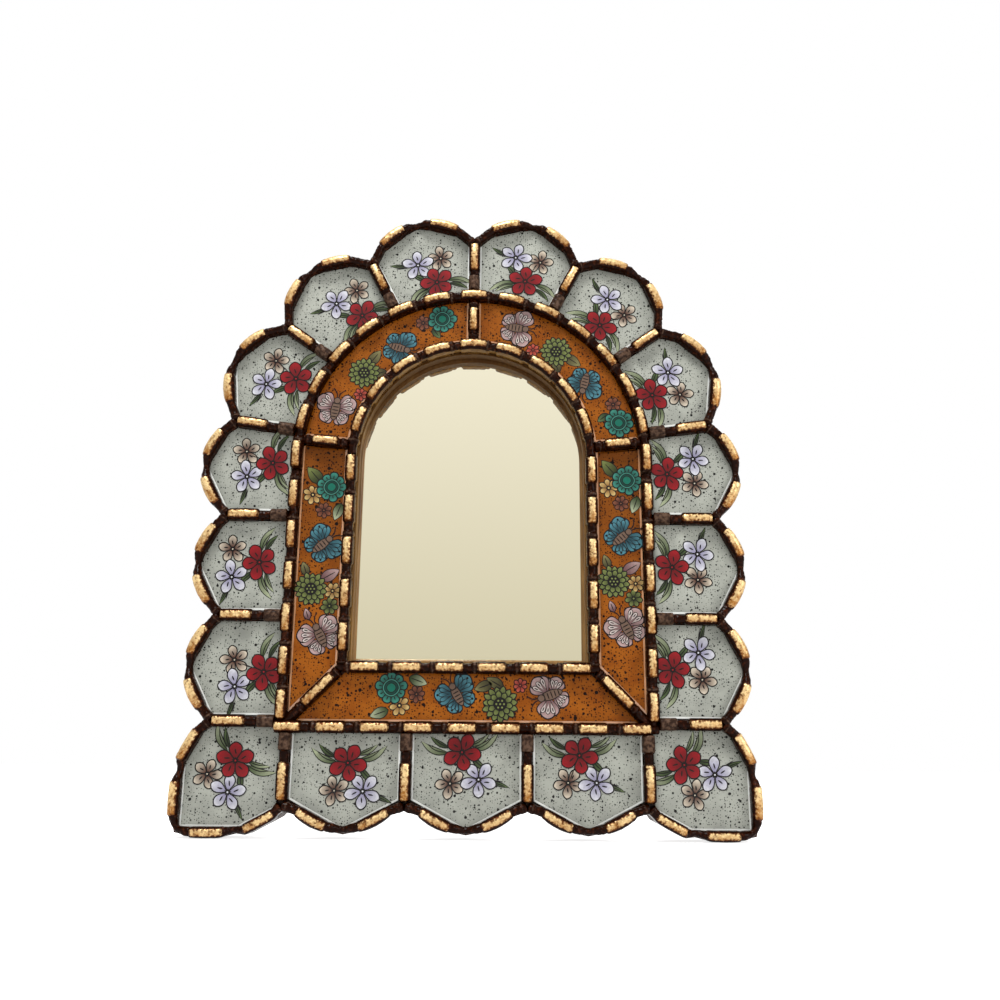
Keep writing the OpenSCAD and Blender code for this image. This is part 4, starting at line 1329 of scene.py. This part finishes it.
# %% Flowers of the band
TEAL = (tone(0, 56, 48), tone(58, 130, 114))
CORE = tone(8, 98, 80)
LEAFY = (tone(18, 25, 6), tone(116, 126, 68))
OLIVE = (tone(52, 48, 24), tone(128, 122, 78))
STRAW = (tone(120, 76, 30), tone(204, 176, 112))
RUST = (tone(64, 26, 16), tone(128, 76, 52))
CORAL = (tone(124, 34, 26), tone(186, 84, 64))


def rosette(art, middle, radius, turn, shades):
    """Nine blunt petals with a short vein each, round three discs."""
    art.petals(middle, 9, turn, 0.3 * radius, radius, 0.25 * radius, shades, 0.74, 0.5)
    for k in range(9):
        angle = turn + 40 * k
        art.line(around(middle, 0.62 * radius, angle), around(middle, 0.84 * radius, angle), 0.24)
    for share, shade in ((0.56, shades[1]), (0.44, shades[0]), (0.28, CORE)):
        art.level += 2
        art.disc(middle, share * radius, shade, 0.36)


def mum(art, middle, radius, turn, shades):
    """Two rings of narrow petals round a black heart with pale seeds."""
    for share, count, plump in ((1.0, 15, 0.14), (0.7, 10, 0.135)):
        reach, width = radius * share, plump * radius
        art.petals(middle, count, turn + 13 * share, 0.1, reach, width, shades, 0.76, 0.85, 0.5)
    art.disc(middle, 0.4 * radius, INK, 0)
    for k in range(7):
        seed = around(middle, 0.22 * radius * (k > 0), 60 * k)
        art.disc(seed, 0.055 * radius, shades[1], 0, lift=2)


def floret(art, middle, radius, turn, shades):
    """A small flower with seven petals and a black heart."""
    art.petals(middle, 7, turn, 0.2, radius, 0.25 * radius, shades, 0.7, 0.55, 0.42)
    art.disc(middle, 0.28 * radius, INK, 0)
    art.disc(middle, 0.1 * radius, shades[1], 0, lift=1)


def small_leaf(art, middle, length, turn, shades):
    """A broad leaf with a rib."""
    start, stop = around(middle, -length / 2, turn), around(middle, length / 2, turn)
    art.stroke(start, stop, 0.28 * length, *shades, 0.42, 0.8, ink=0.4)
    art.line(around(middle, -length * 0.4, turn), around(middle, length * 0.3, turn), 0.22, lift=1)


for motif in (rosette, mum, floret, small_leaf):
    print(motif.__name__, "is laid with", strips(motif, 6.0, 0, LEAFY), "strips")

# %% [markdown]
# A butterfly has four wings of the same make: three overlapping lobes, a narrow cell on each, and
# marks near the edge, which are dashes on the pale ones and dots on the blue ones. The body lies on
# the wings, so it is painted last.

# %% Butterflies of the band
SKY = (tone(0, 34, 44), tone(76, 130, 142))
PINK = (tone(92, 58, 60), tone(182, 154, 150))
PALE = (tone(170, 154, 148), tone(206, 194, 188))
BODY = tone(104, 82, 68)
WING_LAYERS = 12


def wing(art, root, span, angle, plump, shades):
    """A wing: three overlapping lobes, a narrow cell on each, and dots or dashes near the edge."""
    for lift, lobe in enumerate((-20, 20, 0)):
        tip = around(root, span * (0.9 if lobe else 1.0), angle + lobe)
        half = plump * span * (1.0 if lobe else 1.2)
        art.stroke(root, tip, half, *shades, 0.74, 0.6, lift=2 * lift)
    cell = PALE if shades is PINK else shades
    for lift, lobe in enumerate((-19, 19, 0)):
        near, stop = around(root, 0.3 * span, angle + lobe), around(root, span * 0.8, angle + lobe)
        art.stroke(near, stop, 0.08 * span, *cell, 0.74, 0.6, 0.0, 0.3, lift=6 + 2 * lift)
    for lobe in (-24, 0, 24):
        if shades is PINK:
            dash = around(root, 0.55 * span, angle + 0.8 * lobe)
            art.line(dash, around(root, 0.74 * span, angle + 0.8 * lobe), 0.24, lift=11)
        else:
            art.disc(around(root, 0.88 * span, angle + lobe), 0.5, INK, 0, lift=11)


def butterfly(art, middle, span, turn, shades):
    """Two broad fore wings, two smaller hind wings, feelers, and a banded body along the turn."""
    for side in (1, -1):
        wing(art, around(middle, -0.06 * span, turn), 0.44 * span, turn + side * 126, 0.29, shades)
    art.level += WING_LAYERS
    for side in (1, -1):
        wing(art, around(middle, 0.05 * span, turn), 0.57 * span, turn + side * 66, 0.25, shades)
        tip = around(middle, 0.6 * span, turn + side * 15)
        art.line(around(middle, 0.3 * span, turn + side * 5), tip, 0.26, -0.16 * side, lift=11)
        art.disc(tip, 0.4, INK, 0, lift=11)
    art.level += WING_LAYERS
    art.disc(middle, 0.3 * span, BODY, 0.4, 0.36, turn)
    art.disc(around(middle, 0.26 * span, turn), 0.08 * span, BODY, 0.36, lift=2)
    for k in range(-2, 3):
        spot = around(middle, 0.095 * span * k - 0.02 * span, turn)
        art.line(around(spot, 0.09 * span, turn + 90), around(spot, 0.09 * span, turn - 90), 0.26, lift=2)


print("a butterfly is laid with", strips(butterfly, 16.0, 0, SKY), "strips")

# %% [markdown]
# Each band has its own list of motifs: its place along and across the band in millimetres, the
# motif, its size, the way it points and its shades. On the sides and the sill the list runs
# straight, and on the arch the place along becomes an angle.

# %% Strips of motifs
BASE_LEVEL = {small_leaf: 0, floret: 4, mum: 13, rosette: 13, butterfly: 4}
POSY = [
    (54.4, 7.0, small_leaf, 7.6, 250, GREEN),
    (55.0, 0.8, floret, 3.3, 20, RUST),
    (62.0, -4.4, floret, 4.1, 0, STRAW),
    (65.6, 3.7, rosette, 6.3, 0, TEAL),
]
SIDE_STRIP = POSY + [
    (71.0, -4.0, small_leaf, 9.4, 132, LEAFY),
    (0.0, 2.2, butterfly, 16.6, 118, PINK),
    (9.4, -4.0, small_leaf, 4.8, 110, PINK),
    (12.9, 5.4, floret, 3.5, 40, LEAFY),
    (19.4, 6.4, floret, 3.5, 10, STRAW),
    (26.4, 5.0, small_leaf, 8.6, 30, PINK),
    (29.0, -6.0, small_leaf, 6.0, 110, OLIVE),
    (20.2, -3.0, mum, 6.9, 0, LEAFY),
    (39.6, 0.8, butterfly, 15.8, 40, SKY),
]
ARCH_STRIP = [
    (0.0, 0.2, butterfly, 16.4, 100, PINK),
    (11.8, -6.8, floret, 2.8, 0, CORAL),
    (26.4, -7.0, small_leaf, 6.6, 240, OLIVE),
    (30.6, -0.2, small_leaf, 8.2, 100, OLIVE),
    (21.8, -1.8, mum, 6.9, 0, LEAFY),
    (42.4, -3.0, butterfly, 15.6, 40, SKY),
    (57.6, 3.3, floret, 3.3, 20, RUST),
    (62.0, -3.4, small_leaf, 5.6, 20, DARK_GREEN),
    (66.2, 2.8, rosette, 6.3, 0, TEAL),
]
SILL_STRIP = POSY + [
    (70.4, -8.0, small_leaf, 7.6, 110, GREEN),
    (-1.3, 1.0, butterfly, 16.4, 110, PINK),
    (11.5, 5.2, floret, 2.8, 0, CORAL),
    (22.2, 6.4, small_leaf, 7.6, 60, OLIVE),
    (27.0, 4.6, small_leaf, 7.6, 110, OLIVE),
    (19.9, -3.4, mum, 7.3, 0, LEAFY),
    (38.0, 0.6, butterfly, 15.6, 30, SKY),
]
print("motifs on a side, an arch and the sill:", len(SIDE_STRIP), len(ARCH_STRIP), len(SILL_STRIP))

# %% [markdown]
# A strip is laid out along a straight line or an arc. Three small functions turn a place along and
# across into a point on the plan and a turn, and the strip is painted through one of them.

# %% Paint the band
BAND_MIDDLE = (inner_r + band_r) / 2
SIDE_START, LEFT_START = 42.0, 37.6
ARCH_START, LEFT_ARCH_START = 72.5, 160.5
SILL_START, SILL_MIDDLE, SILL_SHARE = 33.5, inner_rise / 2 + 0.6, 0.9


def paint_strip(name, strip, to_plan):
    """Paints a strip; to_plan turns a place along and across into a plan point and a turn."""
    art = Painting()
    for t, across, motif, size, turn, shades in strip:
        middle, way = to_plan(t, across)
        art.level = BASE_LEVEL[motif]
        motif(art, middle, size, turn + way, shades)
    art.finish(name, "amber_glass")
    print(name, "has", len(art.heap.points), "strips")


def on_side(x, start):
    """Straight up a side: (x * BAND_MIDDLE + across, start + along)."""
    return lambda t, across: (np.array([x * BAND_MIDDLE + across, start + t]), 0.0)


def on_arch(start):
    """Clockwise round the arch: the angle is start less along / BAND_MIDDLE."""

    def spot(t, across):
        """The point at BAND_MIDDLE + across from the hub, and the turn that keeps it upright."""
        angle = start - np.degrees(t / BAND_MIDDLE)
        return hub + (BAND_MIDDLE + across) * unit(angle), angle - 180

    return spot


def on_sill(t, across):
    """From right to left below the mirror, a quarter turn from the sides."""
    return np.array([SILL_START - t, SILL_MIDDLE + across * SILL_SHARE]), 90.0


paint_strip("band_painting_side_right", SIDE_STRIP, on_side(1, SIDE_START))
paint_strip("band_painting_side_left", SIDE_STRIP, on_side(-1, LEFT_START))
paint_strip("band_painting_arch_right", ARCH_STRIP, on_arch(ARCH_START))
paint_strip("band_painting_arch_left", ARCH_STRIP, on_arch(LEFT_ARCH_START))
paint_strip("band_painting_bottom", SILL_STRIP, on_sill)

# %% [markdown]
# The two screws of the hanger get round heads with a cross slot. A square grid is squeezed into a
# disc, domed, and sunk where the cross lies; a second, flat disc closes it below.

# %% Screw heads
HEAD_RISE, CROSS_HALF, CROSS_REACH, CROSS_DEPTH = 1.2, 0.32, 1.7, 0.6
screw_low, screw_high = box_mm("hanger_screws")
head_r = (screw_high[0] - screw_low[0]) / 2
head_base = -screw_high[1] + HEAD_RISE
u, v = np.meshgrid(np.linspace(-1, 1, 49), np.linspace(-1, 1, 49), indexing="ij")
disc_x, disc_y = head_r * u * np.sqrt(1 - v * v / 2), head_r * v * np.sqrt(1 - u * u / 2)
rho = np.clip(np.hypot(disc_x, disc_y) / head_r, 0, 1)
least, most = np.minimum(abs(disc_x), abs(disc_y)), np.maximum(abs(disc_x), abs(disc_y))
cross = (least < CROSS_HALF) & (most < CROSS_REACH)
dome = HEAD_RISE * np.sqrt(np.clip(1 - rho**5, 0, 1)) - CROSS_DEPTH * cross
heads = Heap()
for y in (screw_high[2] - head_r, screw_low[2] + head_r):
    for rise in (dome, 0 * dome):
        heads.add(np.stack([disc_x, disc_y + y - plan_zero, head_base - rise], 2))
heads.build("hanger_screw_heads", steel.material, replaces=["hanger_screws"], slot="steel")
print(f"screw heads: {2 * head_r:.1f} mm across")

# %% [markdown]
# The scene is a plain white studio: a pale floor under the frame and an even glow all round. Only
# what the camera and shiny surfaces see of the surroundings is pure white; the light that falls on
# the mirror is milder. So both the floor and the world mix two shaders by who looks.

# %% Floor and surroundings
FLOOR_HALF, FLOOR_GAP = 3.0, 0.0005
FLOOR_WHITE, FLOOR_GLOW, MILD_GLOW = (0.8, 0.8, 0.8, 1), 0.8, 0.48
scene = bpy.context.scene


def seen_directly(tree):
    """The largest of three marks: 1 where the camera, a reflection or a clear pane looks, and 0 for
    the light on the mirror."""
    path = tree.nodes.new("ShaderNodeLightPath")
    seen = path.outputs["Is Camera Ray"]
    for output in ("Is Glossy Ray", "Is Transmission Ray"):
        larger = tree.nodes.new("ShaderNodeMath")
        larger.operation = "MAXIMUM"
        tree.links.new(seen, larger.inputs[0])
        tree.links.new(path.outputs[output], larger.inputs[1])
        seen = larger.outputs[0]
    return seen


def white_for_viewers(tree, plain, seen, kind):
    """Mixes two shaders of a tree by who looks, and joins the result to its output."""
    mix = tree.nodes.new("ShaderNodeMixShader")
    tree.links.new(seen_directly(tree), mix.inputs[0])
    tree.links.new(plain.outputs[0], mix.inputs[1])
    tree.links.new(seen.outputs[0], mix.inputs[2])
    tree.links.new(mix.outputs[0], tree.nodes.new(kind).inputs["Surface"])


floor_z = min(cad_box[0][2], cad_box[1][2]) - FLOOR_GAP
floor_mesh = bpy.data.meshes.new("floor")
corners = [(x * FLOOR_HALF, y * FLOOR_HALF, floor_z) for x, y in ((-1, -1), (1, -1), (1, 1), (-1, 1))]
floor_mesh.from_pydata(corners, [], [(0, 1, 2, 3)])
floor = bpy.data.objects.new("floor", floor_mesh)
scene.collection.objects.link(floor)

floor_finish = bpy.data.materials.new("pale_floor")
floor_finish.use_nodes = True
tree = floor_finish.node_tree
tree.nodes.clear()
dull = tree.nodes.new("ShaderNodeBsdfDiffuse")
dull.inputs["Color"].default_value = FLOOR_WHITE
glow = tree.nodes.new("ShaderNodeEmission")
glow.inputs["Strength"].default_value = FLOOR_GLOW
both = tree.nodes.new("ShaderNodeAddShader")
tree.links.new(dull.outputs[0], both.inputs[0])
tree.links.new(glow.outputs[0], both.inputs[1])
white_for_viewers(tree, dull, both, "ShaderNodeOutputMaterial")
floor_mesh.materials.append(floor_finish)

scene.world = bpy.data.worlds.new("white_studio")
scene.world.use_nodes = True
tree = scene.world.node_tree
tree.nodes.clear()
mild, bright = (tree.nodes.new("ShaderNodeBackground") for _ in range(2))
for light in (mild, bright):
    light.inputs["Color"].default_value = (1, 1, 1, 1)
mild.inputs["Strength"].default_value = MILD_GLOW
white_for_viewers(tree, mild, bright, "ShaderNodeOutputWorld")
print(f"floor {-floor_z / MM:.1f} mm below the hanger, world {scene.world.name}")

# %% [markdown]
# One soft lamp stands above and in front, a weaker one at the right, and a third lights the back,
# which only other views show. Each is a square area lamp, because a large lamp gives soft shadows.

# %% Lamps
HEART = (0, -0.02, -0.12)
LAMPS = (
    ("key_lamp", (-0.15, -0.5, 0.8), 0.3, 11.0),
    ("side_lamp", (0.9, -0.7, 0.2), 0.5, 5.0),
    ("back_lamp", (0.3, 1.0, 0.5), 0.6, 8.0),
)


def soft_lamp(name, spot, aim, size, watts):
    """A square area lamp at a spot, in metres, that looks at aim. Its axes are right, up and back:
    back points from the aim to the spot, right is level, and up is back x right."""
    lamp = bpy.data.lights.new(name, "AREA")
    lamp.shape, lamp.size, lamp.energy = "SQUARE", size, watts
    thing = bpy.data.objects.new(name, lamp)
    way = np.array(aim, float) - np.array(spot, float)
    back = -way / np.linalg.norm(way)
    right = np.cross([0, 0, 1.0], back)
    right /= np.linalg.norm(right)
    turned = Matrix(np.stack([right, np.cross(back, right), back], 1).tolist())
    thing.matrix_world = Matrix.Translation(spot) @ turned.to_4x4()
    scene.collection.objects.link(thing)


for name, spot, size, watts in LAMPS:
    soft_lamp(name, spot, HEART, size, watts)
print("lamps:", *(lamp[0] for lamp in LAMPS))

# %% [markdown]
# The camera stands where the photographer did: a little right of the middle, about 43 cm away, low,
# and looking slightly up. Its frame is square and its lens as long as its sensor is wide.

# %% Camera
EYE_MM = (10.8, -443.2, -227.2)
LOOK_UP, LOOK_RIGHT, ROLL = 14.52, 0.27, 0.49
SENSOR_MM = 36
camera = bpy.data.cameras.new("camera")
camera.sensor_fit, camera.sensor_width, camera.lens = "HORIZONTAL", SENSOR_MM, SENSOR_MM
camera.clip_start = 0.01
viewer = bpy.data.objects.new("camera", camera)
turned = Matrix.Identity(4)
for angle, axis in ((-LOOK_RIGHT, "Z"), (90 + LOOK_UP, "X"), (ROLL, "Z")):
    turned = turned @ Matrix.Rotation(np.radians(angle), 4, axis)
viewer.matrix_world = Matrix.Translation(np.array(EYE_MM) * MM) @ turned
scene.collection.objects.link(viewer)
scene.camera = viewer
scene.view_settings.view_transform = "Standard"
print("camera at", EYE_MM, "mm, looking up by", LOOK_UP, "degrees")
